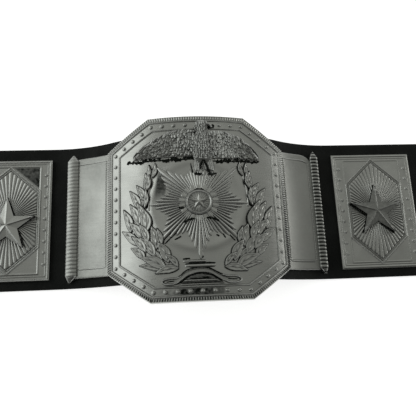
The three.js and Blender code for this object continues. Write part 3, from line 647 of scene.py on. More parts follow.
# Centre plate
# One heavy cast octagon. Its border has a milled edge, a thin raised line, a channel of pips and a
# second line; the field inside is polished, with a low swell round the sunburst.
FIELD = 9
FIELD_ROOT = FIELD - 0.5
HALF_WIDTH = SHOULDER
HALF_HEIGHT = 82
CORNER_S = 41.5
CORNER_Y = 55.4
LOWER_RIGHT = [(-CORNER_S, -HALF_HEIGHT), (CORNER_S, -HALF_HEIGHT),
               (HALF_WIDTH, -CORNER_Y), (HALF_WIDTH, CORNER_Y)]
OCTAGON = LOWER_RIGHT + [(-s, -y) for s, y in LOWER_RIGHT]
MILLED = {"width": 4.2, "top": 9.6, "pitch": 2.1, "samples": 6, "depth": 0.5}
LINE = {"width": 1.2, "height": 0.95}
CHANNEL_WIDTH = 6.6
PIP = {"radius": 1.45, "height": 1.25}
PIP_PITCH = {"level": 9.3, "other": 10.4}
BURST_CENTRE = (-0.5, 1.5)
SWELL = {"radius": 38.5, "width": 3.8, "height": 0.55}


def milled_edge():
    """The border's outer band, a loop of sections: a plain rounded outer strip, then ridges across the
    rest, each groove (0.5 - 0.5 cos)^0.8 deep along the edge. Painted shade makes the lower run and
    the right-hand one the darkest, and painted light makes the left-hand one, facing the key light,
    the lightest."""
    share = np.array([0, 0, 0.02, 0.08, 0.18, 0.26, 0.34, 0.5, 0.7, 0.86, 0.95, 1.04, 1.1, 1.1, 0.5, 0])
    down = np.array([6.3, 1.5, 1.0, 0.5, 0.1, 0.05, 0, 0, 0.05, 0.15, 0.45, 0.7, 0.7, 6.3, 6.3, 6.3])
    bite = np.array([0, 0, 0, 0, 0, 0.4, 1, 1, 1, 1, 0.6, 0, 0, 0, 0, 0])
    places = round_outline(OCTAGON, share * MILLED["width"], MILLED["pitch"] / MILLED["samples"])
    wave = (0.5 - 0.5 * np.cos(2 * math.pi * np.arange(len(places)) / MILLED["samples"])[:, None]) ** 0.8
    heights = MILLED["top"] - down - MILLED["depth"] * bite * wave
    # Painted shade on the lower and right-hand runs, and painted light on the left-hand run.
    low = unit((-70 - places[:, :, 1]) / 6)
    right = unit((places[:, :, 0] - 68) / 8) * unit((34 - places[:, :, 1]) / 40)
    left = unit((-68 - places[:, :, 0]) / 8)
    tone = (0.48 + 0.2 * low + 0.6 * right - 0.14 * left) * bite * wave + 0.3 * low * (bite > 0)
    tone[:, 10:] = np.maximum(tone[:, 10:], 0.36)
    return shell(np.dstack([places, heights]), tone, looped=True)


def even_steps(start, stop, pitch):
    """Places along a straight run, its far end included, as near as can be to a pitch."""
    steps = max(1, round(np.linalg.norm(stop - start) / pitch))
    return [start + (stop - start) * (k + 1) / steps for k in range(steps)]


def field_height(s, y):
    """The polished field: a swell, height exp(-((r - radius) / width)^2), round the sunburst, over the
    faint waves that hand polishing leaves."""
    r = np.hypot(s - BURST_CENTRE[0], y - BURST_CENTRE[1])
    swell = SWELL["height"] * np.exp(-(((r - SWELL["radius"]) / SWELL["width"]) ** 2))
    waves = np.sin(s / 6.1 + y / 17) + np.sin(y / 7.4 - s / 19) + 0.6 * np.sin((s + y) / 3.9)
    return FIELD + swell + 0.035 * waves


def field_tone(s, y):
    """Darkening of the field: dark polish with painted shade under the ribbon's arch, a patchy darker
    band in the channel below it, painted shade in the hollow beside the sunburst's upper left point,
    and thin dark polish all over."""
    arch = -57.5 - 9.5 * ((s + 1) / 19) ** 2
    # Dark polish and painted shade under the ribbon's arch.
    under = unit((arch - y) / 1.5) * unit((20 - np.abs(s + 1)) / 3)
    smear = 0.05 + 0.05 * np.sin(s / 8.3 + 1) * np.sin(y / 6.7)
    # Painted shade: a dark patch for the hollow beside the sunburst's upper left point.
    hollow = 0.74 * np.exp(-(((s + 30.8 - (y - 19) / 7) / 4.6) ** 10) - ((y - 19.5) / 12) ** 4)
    patchy = 0.55 + 0.3 * np.sin(s / 0.9 + 1.4 * np.sin(y / 0.8)) + 0.15 * np.sin(s / 2.3 + y)
    low_band = 0.75 * patchy * unit(-70.8 - y) * unit(np.minimum(s + 39, 13 - s) / 17)
    return unit(smear + 0.52 * under + hollow + low_band)


def border():
    """The milled edge, the two lines with the channel floor between them, and the field inside. The
    lines' dark feet carry painted shade, deepest at the bottom and fading towards the top, and the
    pips of the left-hand run are painted paler, as lit by the key light."""
    line_in = MILLED["width"] + LINE["width"] + CHANNEL_WIDTH
    track = inset(OCTAGON, MILLED["width"] + LINE["width"] + CHANNEL_WIDTH / 2)
    shells = [milled_edge()]
    for inside, dark in ((MILLED["width"] + 0.1, 0.55), (line_in, 0.5)):
        line, tone, faces = moulding(OCTAGON, inside, LINE["width"], FIELD, LINE["height"], 1.5, dark)
        # Painted shade: the lines' dark feet are deepest low down and fade towards the top.
        shells.append((line, tone * np.interp(line[:, 1], [-60, 10, 70], [1.15, 0.9, 0.4]), faces))
    for corner, ahead in zip(track, np.roll(track, -1, 0)):
        pitch = PIP_PITCH["level" if abs(ahead[1] - corner[1]) < 1 else "other"]
        for place in even_steps(corner, ahead, pitch):
            # Painted light: the pips of the left-hand run, facing the key light, get paler feet.
            dark = 0.7 if place[0] > -60 else 0.5
            shells.append(dome(place, base=FIELD, dark=dark, **PIP))
    edge = inset(OCTAGON, 1.0)
    s = np.unique(np.concatenate([np.linspace(edge[7, 0], edge[2, 0], 190), edge[4:6, 0]]))
    share = unit((np.abs(s) - edge[4, 0]) / (edge[2, 0] - edge[4, 0]))
    half = edge[4, 1] + share * (edge[3, 1] - edge[4, 1])
    shells.append(slab(s, -half, half, field_height, PLATE_BACK, 190, 0.2, field_tone))
    return shells


add_piece("cast_centre_plate", border(), plating, ["centre_plate"])

# Sunburst, rosette and medallion
# Cast on the field: eight groups of sharp fluted rays with black polish in their grooves, deepened
# by painted shade towards the bottom of the fan, between two low folds of the field, a low rosette of
# petals over them, and a round medallion with a rim and a plain five-pointed star. Thin dark strips
# are painted as the shadows round the rosette and along the lower rays.
BURST_REACH = [41, 47, 36, 47.5, 40.5, 45, 48.5, 45]
BURST_VALLEY = 27.5
BURST = {"flutes": 64, "peak": 2.6, "rim": 1.3, "depth": 0.8, "samples": 12, "steps": 34, "lit": 0.45,
         "calm": 0.6}
ROSETTE_EDGE = {"valley": 14, "lobe": 2.2, "base": 1.3}
ROSETTE = {"flutes": 18, "peak": 1.7, "rim": 0.6, "depth": 0.45, "samples": 12, "steps": 14, "lit": 0.5,
           "twist": 0.165}
ROSETTE_SHADOWS = [[(-13, -16), (-9, -13.4), (-4, -12.6)], [(5, -12.2), (9.5, -12.6), (15, -14.8)],
                 [(-17, -2.6), (-14.5, -3), (-12.5, -2.4)], [(-4, 12.4), (0, 13), (4, 12.2)]]
BURST_SHADOWS = [[(-29, -33), (-20, -24.5), (-12.5, -17.5)], [(28, -32), (21, -24.5), (14, -17)],
               [(-26, -22), (-19.5, -17.5), (-13, -13.6)], [(26, -22.5), (20, -17), (14.5, -12.5)],
               [(-21, -30), (-18, -28.5), (-15.5, -27)], [(12.5, -26.5), (15, -28)],
               [(-30, -30), (-26, -26), (-22, -22.5)], [(20, -29.5), (18, -26)]]
FOLDS = [[(-36.8, 36), (-39.8, 22), (-41.6, 9), (-41, -4)],
         [(36.6, 36), (39.4, 22), (41.4, 9), (40.8, -2)]]
ROSETTE_SHADOW = {"half": 0.85, "jag": 0.3, "base": FIELD + 2.3}
BURST_SHADOW = {"half": 0.5, "jag": 0.12, "base": FIELD + 0.9}
FOLD = {"half": 1.4, "height": 1.1, "base": FIELD, "dark": 0.0, "power": 1.5}
MEDALLION = {"radius": 10.5, "height": 4.4, "rim": 0.7}
MEDALLION_STAR = {"tip": 7.2, "valley": 2.9, "edge": 0.6, "peak": 1.6, "skirt": 0.3, "splits": 6}


def burst_reach(turn):
    """The sunburst's edge: an eight-pointed star whose every flute ends in its own rounded tip."""
    corner = math.pi * np.arange(16) / 8
    reach = np.where(np.arange(16) % 2 == 0, np.repeat(BURST_REACH, 2), BURST_VALLEY)
    outline = np.stack([reach * np.cos(corner), reach * np.sin(corner)], -1)
    flute = 2 * math.pi / BURST["flutes"]
    middle = np.round(turn / flute) * flute
    off = (turn - middle) / (flute / 2)
    return reach_to(outline, middle) * (1 - 0.13 * np.abs(off) ** 1.6)


def medallion():
    """A disc of rings, r and h, with a raised rim and a sunk floor of fine rays, height cos(24 turn),
    and a small faceted star on it."""
    radius, height, rim = (MEDALLION[key] for key in ("radius", "height", "rim"))
    r = np.array([1.07, 1.07, 1.02, 0.99, 0.95, 0.9, 0.85, 0.82, 0.6, 0.3, 0.05])[:, None] * radius
    rise = np.array([-height - 0.4, -1.2, -0.9, -0.2, rim, rim, 0.15, -0.1, 0.1, 0.3, 0.4])[:, None]
    tone = np.array([1, 1, 0.6, 0.2, 0, 0, 0.2, 0.5, 0.2, 0.1, 0])[:, None]
    turn = 2 * math.pi * np.arange(96) / 96
    fine = np.array([0, 0, 0, 0, 0, 0, 0, 0.1, 0.22, 0.1, 0])[:, None] * np.cos(24 * turn)
    h, tone = FIELD + height + rise + fine, tone + 0.8 * np.abs(fine)
    disc = turned(BURST_CENTRE, r, h, turn, tone)
    return [disc, faceted_star(BURST_CENTRE, base=FIELD + height, **MEDALLION_STAR)]


def petal_reach(turn):
    """The rosette's edge: valley + lobe |cos|^0.7, one lobe to each petal."""
    across = np.abs(np.cos(turn * ROSETTE["flutes"] / 2)) ** 0.7
    return ROSETTE_EDGE["valley"] + ROSETTE_EDGE["lobe"] * across


burst = rays(BURST_CENTRE, burst_reach, base=FIELD, **BURST)
rosette = rays(BURST_CENTRE, petal_reach, base=FIELD + ROSETTE_EDGE["base"], **ROSETTE)
# Painted shadows: dark strips round the rosette and along the lower rays.
marks = [painted_shadow_strip(run, seed=seed, **ROSETTE_SHADOW) for seed, run in enumerate(ROSETTE_SHADOWS)]
marks += [painted_shadow_strip(run, seed=seed, **BURST_SHADOW) for seed, run in enumerate(BURST_SHADOWS)]
folds = [ridge(run, **FOLD) for run in FOLDS]
shells = [burst, rosette, *medallion(), *marks, *folds]
add_piece("cast_sunburst", shells, plating, ["centre_plate"])

# Wreath
# Laurel leaves cast on the field in two branches, left and right. Each leaf has a raised rim, a
# midrib and faint veins, and they lie in three layers that lap over each other. The table gives the
# left branch's leaves, each with its tip, base and width.
LEAVES = [
    ((-35.2, 39), (-37.6, 26), 3.4),
    ((-40.4, 38), (-42.4, 24), 3.2),
    ((-40.2, 29), (-43.2, 14), 3.6),
    ((-43.5, 31), (-44.6, 15), 4.4),
    ((-51.5, 20.5), (-45, 6), 5.6),
    ((-43.6, 17), (-44.6, -1), 3.6),
    ((-46.8, 17), (-48, 0), 4.6),
    ((-57.5, 16), (-49, -2), 6.2),
    ((-51.5, 5), (-45, -14), 5.4),
    ((-63.5, 0), (-57, -21), 6.4),
    ((-57.5, 4), (-49.5, -16), 6.8),
    ((-46, -0.5), (-44.2, -22.5), 8.6),
    ((-58.5, -12), (-46, -29), 7),
    ((-64.5, -19.5), (-51, -33), 6.6),
    ((-49.5, -14), (-42, -31), 5.6),
    ((-39.5, -17), (-35.6, -37), 8),
    ((-35, -19), (-31, -34), 3.4),
    ((-56, -24.5), (-44, -39), 6),
    ((-57, -34.5), (-45, -44.5), 6.4),
    ((-49.5, -26), (-37, -43), 7.6),
    ((-34.5, -31), (-26, -49), 7.6),
    ((-43, -36), (-31, -50), 6),
    ((-48.5, -43.5), (-28, -54), 8.4),
    ((-28.5, -41.5), (-18.5, -53), 4.4),
    ((-50, -50.2), (-31.5, -55), 5.2),
    ((-37, -57.6), (-18, -54), 6.4),
]
LEAF = {"height": 1.25, "rise": 0.7, "flange": 0.85, "layer": 0.45, "bow": 0.07, "veins": 3.2,
        "outline": 0.8}


def bowed(start, stop, bow, count):
    """A path from start to stop, with its middle moved aside by bow times its length."""
    start, stop = np.asarray(start, float), np.asarray(stop, float)
    axis = stop - start
    return through([start, (start + stop) / 2 + np.array([-axis[1], axis[0]]) * bow, stop], count)


def leaf(tip, base, width, lift):
    """One leaf along a bowed axis. Its half width is sin(pi t^0.8)^1.05. A dark flange of constant width
    runs round a raised rim, and a midrib with patchy dark veins lies in the dished middle. It rises
    towards its tip, and lift is the layer that it lies in, so that leaves lap over each other."""
    path = bowed(base, tip, LEAF["bow"] * np.sign(base[0]), 30)
    t = np.linspace(0, 1, 30)[:, None]
    q = np.linspace(-1, 1, 29)
    full = np.sin(math.pi * np.clip(t, 0.008, 0.992) ** 0.8) ** 1.05
    half = width * 0.52 * full + LEAF["outline"] * 0.75
    inside = half * (1 - np.abs(q))
    aside = half * np.abs(q)
    wall = unit(inside / 0.15)
    body = unit((inside - 0.75 * LEAF["outline"]) / 0.25)
    along = unit(7 * t * (1 - t))
    rib = np.exp(-((aside / 0.3) ** 2)) * along
    dished = unit((inside - 1.3) / 0.9)
    veins = np.sin(2 * math.pi * (t * LEAF["veins"] - aside * 0.35 + base[1] / 7))
    top = LEAF["height"] * (0.9 + 0.1 * (1 - q**2)) - dished * (0.2 + 0.04 * veins) + 0.2 * rib
    raised = wall * (LEAF["flange"] + lift + LEAF["rise"] * t**1.5)
    h = FIELD + 0.04 + raised + body * (top - LEAF["flange"])
    middle = np.exp(-((aside / 1.0) ** 2)) * along * unit(half - 1.5)
    marked = middle * (0.28 + 0.38 * veins) + 0.2 * (1 - t) ** 3
    tone = unit(0.9 * (1 - body) + marked * body)
    return strip(path, half[:, 0], h, tone, FIELD_ROOT)


leaves = []
for k, (tip, base, width) in enumerate(LEAVES):
    for hand in (1, -1):
        ends = [(s * hand, y) for s, y in (tip, base)]
        leaves.append(leaf(*ends, width, LEAF["layer"] * (k % 3)))
add_piece("cast_wreath", leaves, plating, ["centre_plate"])

# Ribbon
# A cast ribbon that arches between the wreath's two stems, with raised edges and rolled ends, over a
# recess painted dark with its black polish and its shade, crossed by straight bars. A bar is given by
# its ends, half width and height, and a recess's painted shade by its half width and run.
RIBBON_HEAD = [(-22, -62.4), (-20, -62.2), (-16, -59.6), (-12.5, -57), (-6, -55), (0, -54.6),
               (6, -55.6), (11, -58.6), (16, -61.2), (20, -62.4)]
RIBBON_FOOT = [(-22, -66.8), (-20, -66.8), (-16, -64.2), (-12.5, -61.4), (-6, -58.8), (0, -58.2),
               (6, -59.2), (11, -62), (16, -65.4), (20, -66.8)]
RIBBON_ROLLS = [
    [(-15.5, -60.6), (-20, -62.2), (-26, -62.5), (-30.4, -63.6), (-31.2, -65.4), (-28.5, -66.9),
     (-23, -66.9), (-18, -65.6)],
    [(15, -60.2), (20, -61.8), (26, -62), (30, -63.4), (30.6, -65.6), (27, -67), (21.5, -66.8),
     (16.5, -64.8)],
]
ROLL_SHADOWS = [[(-28.4, -65), (-24.5, -64.6), (-19, -64.2)], [(17.6, -63.4), (23, -64.2), (28, -64.4)]]
RIBBON_HEIGHT = 2.4
BARS = [
    ((-13.5, -52.4), (11, -52.4), 1.2, 0.7),
    ((-15, -48.6), (3.5, -48.6), 0.9, 1.2),
    ((-10, -61.2), (8, -61.2), 0.5, 0.9),
    ((-14.5, -64.4), (13, -64.4), 0.75, 1.3),
    ((-17.5, -67.6), (17, -67.6), 0.6, 1.0),
]
RECESS_SHADOWS = [
    (0.75, [(-13.2, -50.9), (-6, -50.5), (0, -50.3), (11, -50.4)]),
    (0.9, [(-1, -50.6), (2, -50.9), (5, -50.6)]),
    (0.7, [(-15, -46.6), (-12, -46.4), (-9, -46.2)]),
    (0.9, [(-1, -45.3), (0.5, -45.1), (1.5, -45.6)]),
    (0.6, [(-30, -62.2), (-20, -61.9), (-12.8, -56.4), (-6, -54.2), (0, -53.8), (6, -54.8),
             (12, -58.2), (17, -60.6), (23, -62), (27.5, -62.2)]),
    (0.65, [(-21, -67.6), (-16, -64.9), (-12, -61.9), (-6, -59.3), (0, -58.8), (6, -59.8), (11, -62.6),
             (16, -66.3)]),
    (0.42, [(-10, -62.8), (-4, -62.9), (2, -62.8), (7, -62.9)]),
    (1.2, [(0.2, -61.6), (2.6, -61.4), (5.2, -61.7)]),
    (0.38, [(-17, -66.2), (-8, -66.3), (3, -66.3), (14.5, -66.2)]),
    (0.5, [(-20, -69.2), (-8, -69.1), (8, -69.1), (24, -69.2)]),
]


def ribbon():
    """The ribbon's band: its top runs from foot to head at each station, with raised edges at 0.78 of
    the half width, and each end turns back on itself in a long roll whose hollow is painted dark as
    shade."""
    head, foot = through(RIBBON_HEAD, 110), through(RIBBON_FOOT, 110)
    share = np.linspace(0, 1, 15)
    flat = foot[:, None] * (1 - share)[:, None] + head[:, None] * share[:, None]
    q = np.abs(2 * share - 1)
    inside = unit((1 - q) / 0.16)
    edge = np.exp(-(((q - 0.78) / 0.13) ** 2))
    h = FIELD + 0.04 + RIBBON_HEIGHT * inside * (0.62 + 0.38 * edge)
    rings = over_foot(*np.moveaxis(flat, -1, 0), h, FIELD_ROOT)
    shells = [shell(rings, np.append(unit(1 - inside + 0.25 * (1 - edge) * inside), [1, 1]))]
    shells += [ridge(roll, 0.75, 2.6, FIELD, dark=0.9) for roll in RIBBON_ROLLS]
    # Painted shade in the hollow of each roll.
    shells += [painted_shadow_strip(hollow, 0.5, 0.1, FIELD + 0.3, row) for row, hollow in enumerate(ROLL_SHADOWS)]
    for *ends, half, height in BARS:
        start, stop = np.array(ends)
        shells.append(ridge([start, (start + stop) / 2, stop], half, height, FIELD))
    # Dark strips that paint the recess's black polish and its shade.
    for row, (half, run) in enumerate(RECESS_SHADOWS):
        shells.append(painted_shadow_strip(run, half, 0.12, FIELD + 0.25, row))
    return shells


add_piece("cast_ribbon", ribbon(), plating, ["centre_plate"])

# Eagle
# A spread eagle cast over the top of the field: a feathered body with its head turned, two wings of
# lapped feathers whose tips stand clear of an undercut painted dark as its shadow, tail, legs and
# talons. Its painted shadows, thin dark strips, are given by half width, height and run.
EAGLE_S = 4.2
EAGLE_BODY = [(36.5, 5.4, 1.8), (40, 7.4, 2.8), (44, 8.2, 3.6), (48, 8.2, 4.2), (52, 8, 4.4),
              (57, 7.4, 4.4), (61, 6.4, 4.2), (64.5, 5.4, 4), (67.5, 5, 4), (70.5, 5.2, 4.2),
              (73.2, 4.9, 4.2), (75.4, 3.5, 3.4), (76.6, 1.4, 2.2)]
WING_SPANS = [
    {"edge": 43.6, "inner": -2, "tip": -54.5, "cut": -59.5, "seed": 1,
     "arc": [(-1, 66.5), (-12, 68), (-24, 65.8), (-35, 60.8), (-43, 56.6), (-49, 52.2), (-55, 46.2)]},
    {"edge": 41.6, "inner": 10.5, "tip": 54, "cut": 53.5, "seed": 2,
     "arc": [(9, 65.5), (17, 66.4), (26, 64.6), (34, 61.8), (42, 57), (49, 50.8), (54.5, 43.8)]},
]
FEATHER = {"pitch": 1.8, "row": 2.3, "length": 5.4, "width": 2.3, "lift": 1, "climb": 0.13, "lean": 1}
BODY_FEATHER = {"row": 1.6, "across": 2.0, "length": 3.4, "width": 2.1}
UNDERCUT_SHADE = {"half": 0.5, "scoop": 1.75, "pitch": 3.7, "lift": 0.9, "drop": (2.7, 1.6)}
LEGS = [[(0.6, 42), (-0.6, 29.5)], [(8.6, 42), (11.2, 29.5)]]
TALONS = [(-0.6, 28.6), (11.4, 28.6)]
BEAK = [(6.6, 73.4), (9.6, 72.8), (12, 71), (12.4, 69.2)]
EYE = (6.4, 73.4)
NAPE = [(-2.6, 71.5), (-1.2, 68), (0.2, 64.6)]
EAGLE_SHADOWS = [
    (0.7, 2.6, [(2.2, 31), (2.6, 35.5), (4.4, 40), (6, 36.5), (8, 31), (8.8, 27.5)]),
    (0.85, 2.4, [(-3.6, 27.3), (0, 26.8), (3.4, 26.8)]),
    (0.7, 2.4, [(8, 26.6), (10.5, 26.8), (15, 27.2)]),
    (0.4, 1.8, [(-6, 37), (-5.2, 32), (-4.4, 28)]),
    (1.4, 1.1, [(9.2, 69.4), (11.6, 71.4), (15.2, 72.3)]),
]


def feather(root, tip, width, lift, bow, extra_tone=0.0, polish=1.0):
    """One feather from root to tip: parallel sides, a round end, a quill along the middle, and barbs
    as fine slanting ripples. It rises a little towards its tip."""
    length = np.linalg.norm(np.subtract(tip, root))
    count = int(np.clip(length / 0.6, 8, 24))
    path = bowed(root, tip, bow, count)
    t = np.linspace(0, 1, count)[:, None]
    q = np.linspace(-1, 1, 9)
    point = np.clip((t[:, 0] - 0.7) / 0.3, 0, 0.985)
    half = width * 0.55 * np.sqrt(1 - point**2) * unit(0.6 + 2 * t[:, 0])
    inside = unit((1 - np.abs(q)) / 0.3)
    quill = np.exp(-((q / 0.18) ** 2))
    barbs = np.sin(2 * math.pi * (t * length / 1.6 + np.abs(q) * 0.9))
    h = FIELD + lift + 0.5 * t + inside * ((1 - q**2) * 0.4 + 0.25 * quill + 0.08 * barbs)
    tone = extra_tone + (1 - inside) * 0.4 + 0.2 * inside * (1 - quill) * (0.6 + 0.4 * barbs)
    tone = np.maximum(tone, 0.6 * unit((t - 0.93) / 0.06))
    return strip(path, half, h, unit(tone * polish), FIELD_ROOT)


def undercut(start, stop, seed):
    """The ragged recess below a wing, painted dark as its shadow and black polish: a thin dark run, and
    on it scoops of uneven length, width and tilt, which thin out towards the wing's tip."""
    start, stop = np.asarray(start, float), np.asarray(stop, float)
    draws = np.random.default_rng(seed)
    base = FIELD + UNDERCUT_SHADE["lift"]
    # Painted shadow: dark strips under the feather tips.
    cuts = [painted_shadow_strip([start, (start + stop) / 2, stop], UNDERCUT_SHADE["half"], 0.25, base, seed)]
    count = round(np.linalg.norm(stop - start) / UNDERCUT_SHADE["pitch"])
    for k in range(count):
        share = (k + 0.5) / count
        middle = start + (stop - start) * share + draws.uniform(-1.2, 1.2, 2)
        tilt = draws.uniform(-0.9, 0.9)
        reach = draws.uniform(1.0, 2.3) * np.array([math.cos(tilt), math.sin(tilt)])
        half = UNDERCUT_SHADE["scoop"] * draws.uniform(0.7, 1.15) * (1 - 0.6 * share**1.5)
        run = [middle - reach, middle + (0, 0.4), middle + reach]
        cuts.append(painted_shadow_strip(run, half, 0.2, base, seed + k))
    return cuts


def spread_wing(edge, inner, tip, cut, seed, arc):
    """One wing: a web under the arc, rows of small uneven feathers that lean outwards towards its tip,
    a low rolled leading edge, and the ragged undercut below them, painted dark as its shadow, out to
    the cut."""
    outline = through(arc, 200)
    order = np.argsort(outline[:, 0])
    over = lambda s: np.interp(s, outline[order, 0], outline[order, 1])
    s = np.sort(np.linspace(inner, tip, 60))
    above = np.maximum(over(s) - 0.6, edge + 0.6)
    shells = [slab(s, np.full(60, edge - 0.3), above, FIELD + 0.9, FIELD_ROOT, 20, 0.5, 0.4)]
    draws = np.random.default_rng(seed)
    columns = round(abs(tip - inner) / FEATHER["pitch"])
    for column in range(columns):
        share = (column + 0.5) / columns
        place = inner + (tip - inner) * share
        for row in range(max(1, int((over(place) - edge) / FEATHER["row"]))):
            end = np.array([place, edge + 0.4 + row * FEATHER["row"]]) + draws.uniform(-0.9, 0.9, 2)
            lean = FEATHER["lean"] * share * np.sign(tip) + draws.uniform(-0.3, 0.3)
            length = FEATHER["length"] * draws.uniform(0.7, 1.15)
            root = end + length * np.array([-math.sin(lean), math.cos(lean)])
            root[1] = min(root[1], over(root[0]) + 0.3)
            width = FEATHER["width"] * draws.uniform(0.7, 1.15)
            lift = FEATHER["lift"] + FEATHER["climb"] * row + draws.uniform(0, 0.7)
            extra_tone = draws.uniform(0.0, 0.25) + 0.14 * (1 - share)
            shells.append(feather(root, end, width, lift, 0.08 * np.sign(tip), extra_tone, 1 - 0.6 * share))
    shells.append(ridge(arc, 0.8, 2.2, FIELD, 0.2, dark=0.25))
    start, stop = (inner, edge - UNDERCUT_SHADE["drop"][0]), (cut, edge - UNDERCUT_SHADE["drop"][1])
    return shells + undercut(start, stop, seed)


def eagle_body():
    """The body from tail to crown: half-round rings whose half width and height pass smoothly through
    the table, dark between the rows of small feathers laid on them."""
    y, half, height = through(EAGLE_BODY, 90).T
    turn = np.linspace(-math.pi / 2, math.pi / 2, 25)
    s = EAGLE_S + np.maximum(half, 0.3)[:, None] * np.sin(turn)
    h = FIELD + height[:, None] * np.cos(turn)
    shells = [shell(over_foot(s, y[:, None], h, FIELD_ROOT), 0.55)]
    draws = np.random.default_rng(7)
    for foot in np.arange(y[0] + 4, y[-1] - 1.4, BODY_FEATHER["row"]):
        wide, tall = np.interp(foot, y, half), np.interp(foot, y, height)
        across = max(2, round(2 * wide / BODY_FEATHER["across"]))
        for k in range(across):
            aside = (2 * (k + draws.uniform(0.25, 0.75)) / across - 1) * 0.92
            end = np.array([EAGLE_S + wide * aside, foot + draws.uniform(-0.5, 0.5)])
            root = end + (draws.uniform(-0.6, 0.6) - 0.5 * aside, BODY_FEATHER["length"])
            root[1] = min(root[1], y[-1] - 0.3)
            lift = tall * math.sqrt(1 - aside**2) - 0.25
            extra_tone = draws.uniform(0.15, 0.45)
            shells.append(feather(root, end, BODY_FEATHER["width"], lift, 0.0, extra_tone))
    return shells


def eagle():
    """All of the eagle: wings, body, hooked beak, eye, nape, tail, feathered legs and toes."""
    shells = [each for span in WING_SPANS for each in spread_wing(**span)]
    shells += eagle_body()
    shells.append(ridge(BEAK, 1.25, 4, FIELD, 0.2))
    shells.append(dome(EYE, 0.65, FIELD + 3.3, 0.7, 12))
    shells.append(ridge(NAPE, 0.6, 3.8, FIELD))
    for hand, leg in zip((-1, 1), LEGS):
        for k in range(3):
            shift = np.array([(k - 1) * 1.7, 0])
            ends = leg[0] + shift, leg[1] + shift * 0.7
            shells.append(feather(*ends, 2.6, 1.0, 0.05 * hand, 0.3))
    for s, y in TALONS:
        for turn in (-0.9, -0.1, 0.7):
            reach = np.array([math.sin(turn), -math.cos(turn)])
            start = np.array([s, y + 0.6])
            toe = [start, start + 1.3 * reach + (0, 0.3), start + 2.6 * reach]
            shells.append(ridge(toe, 0.6, 2.2, FIELD))
    for k, end in enumerate((2.6, 4.6, 6.6)):
        shells.append(feather((4.3, 40), (end, 29.6 + abs(k - 1)), 2.4, 0.6, 0.0, 0.35))
    # Painted shadows: dark strips between the legs and tail, under the talons and under the beak.
    for row, (half, lift, run) in enumerate(EAGLE_SHADOWS, 5):
        shells.append(painted_shadow_strip(run, half, 0.15, FIELD + lift, row))
    return shells


add_piece("cast_eagle", eagle(), plating, ["centre_plate"])

# Snaps
# Pressed snap halves riveted through the strap's two ends: plain caps at the left end, and studs with
# a post at the right end. Turned shapes, one piece each.
SNAP_RADIUS = 7.5
SNAP_HEIGHT = 2.4
SNAP_POST = {"radius": 3, "height": 5}
SNAP_ROWS = (-28, 28)
SNAP_COLUMNS = (22, 52)
CAP_PROFILE = [(1, 0.02), (1, 0.35), (0.96, 0.5), (0.9, 0.6), (0.82, 0.62), (0.76, 0.72), (0.66, 0.92),
               (0.5, 1), (0.25, 0.97), (0.04, 0.96)]
POST_PROFILE = [(0.84, 0.66), (1, 0.76), (1, 0.88), (0.8, 1), (0.3, 1)]


def snap(s, y, has_post):
    """Rings of a turned profile: a rolled rim and a dished cap, with a round-topped post on a stud."""
    r, h = np.array(CAP_PROFILE).T * [[SNAP_RADIUS], [SNAP_HEIGHT]]
    if has_post:
        post_r, post_h = np.array(POST_PROFILE).T * [[SNAP_POST["radius"]], [SNAP_POST["height"]]]
        r = np.concatenate([r[:7], [0.86 * SNAP_POST["radius"]], post_r])
        h = np.concatenate([h[:7], [SNAP_HEIGHT], post_h])
    turn = 2 * math.pi * np.arange(48) / 48
    tone = np.where(np.arange(len(r)) == 4, 0.6, 0.05)[:, None]
    return turned((s, y), r[:, None], PLATE_BACK + h[:, None], turn, tone)


snap_metal = cast_metal("snap_nickel", (0.55, 0.56, 0.54, 1), (0.03, 0.03, 0.03, 1), 0.28)
for kind, has_post, side in (("cap", False, -1), ("stud", True, 1)):
    places = [(STRAP_LENGTH / 2 - column, row) for column in SNAP_COLUMNS for row in SNAP_ROWS]
    for k, (s, row) in enumerate(places, 1):
        half = [snap(side * s, STRAP_MIDDLE + row, has_post)]
        add_piece(f"turned_snap_{kind}_{k}", half, snap_metal, [f"snap_{kind}_{k}"])

# Floor, light and camera
# A plain pale floor, a large soft light on the left, a low one on the right and a surround that is dim
# overhead and pale at the horizon, seen by the camera from above the belt's lower edge.
CAMERA_TURN = (-0.238, 0.081, 0.026)
CAMERA_SHIFT = (-8.034, 1.68, 420.3)
CAMERA_AIM = (0, 2, RISE)
CAMERA_LENS = 41.43
SURROUND = {"near": (0.04, 0.04, 0.037, 1), "far": (0.4, 0.408, 0.378, 1)}
HORIZON = {"colour": (0.75, 0.76, 0.74, 1), "from": 0.16, "to": 0.42}
FLOOR_HALF = 4
FLOOR_DROP = 0.0003
FLOOR_PAINT = {"Base Color": (0.9, 0.9, 0.9, 1), "Roughness": 0.9, "Emission Color": (1, 1, 1, 1),
               "Emission Strength": 0.8}
KEY = {"place": (-2.0, 0.46, 1.22), "size": (2.4, 1.64), "power": 13.4, "tint": (0.96, 1, 0.97)}
RIM = {"place": (1.25, 0.1, 0.16), "size": (0.9, 0.28), "power": 1.5, "tint": (1, 1, 0.94)}


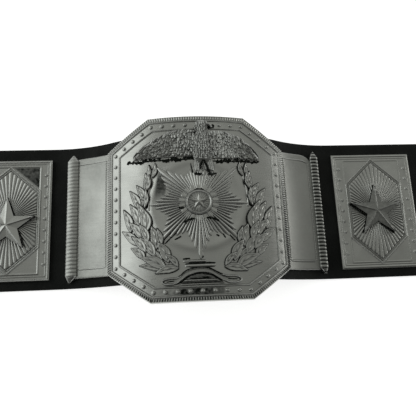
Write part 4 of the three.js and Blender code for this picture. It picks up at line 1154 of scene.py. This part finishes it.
def soft_light(name, place, size, power, tint):
    """A rectangular area light that faces the belt."""
    light = bpy.data.lights.new(name, "AREA")
    light.shape = "RECTANGLE"
    light.size, light.size_y = size
    light.energy = power
    light.color = tint
    lamp = put(name, light)
    lamp.location = place
    lamp.rotation_euler = (-Vector(place)).to_track_quat("-Z", "Y").to_euler()


floor_mesh = bpy.data.meshes.new("floor")
floor_corners = [(*corner, -FLOOR_DROP) for corner in box_outline(0, FLOOR_HALF, FLOOR_HALF)]
floor_mesh.from_pydata(floor_corners, [], [(0, 1, 2, 3)])
floor = put("floor", floor_mesh)
floor_paint = bpy.data.materials.new("pale_floor")
floor_paint.use_nodes = True
for key, value in FLOOR_PAINT.items():
    floor_paint.node_tree.nodes["Principled BSDF"].inputs[key].default_value = value
floor_mesh.materials.append(floor_paint)

soft_light("key", **KEY)
soft_light("rim", **RIM)
world = bpy.data.worlds.new("surround")
world.use_nodes = True
sky_tree = world.node_tree
aim = node(sky_tree, "ShaderNodeTexCoord").outputs["Generated"]
apart = node(sky_tree, "ShaderNodeSeparateXYZ", {"Vector": aim}).outputs
far_up = maths(sky_tree, "ADD", apart["Y"], maths(sky_tree, "MULTIPLY", apart["Z"], 0.6))
sky = blend(sky_tree, spread(sky_tree, far_up, 0.0, 0.85, 0.0, 1.0), SURROUND["near"], SURROUND["far"])
level = spread(sky_tree, apart["Z"], HORIZON["from"], HORIZON["to"], 1.0, 0.0)
sky = blend(sky_tree, level, sky, HORIZON["colour"])
sky_tree.links.new(sky, sky_tree.nodes["Background"].inputs["Color"])
bpy.context.scene.world = world
bpy.context.scene.view_settings.view_transform = "Standard"

camera = put("camera", bpy.data.cameras.new("camera"))
camera.data.lens = CAMERA_LENS
turn = Euler(CAMERA_TURN, "XYZ").to_matrix().transposed()
from_aim = turn @ Vector((-CAMERA_SHIFT[0], -CAMERA_SHIFT[1], CAMERA_SHIFT[2]))
camera.location = (Vector(CAMERA_AIM) + from_aim) * MM
camera.rotation_euler = turn.to_euler()
bpy.context.scene.camera = camera
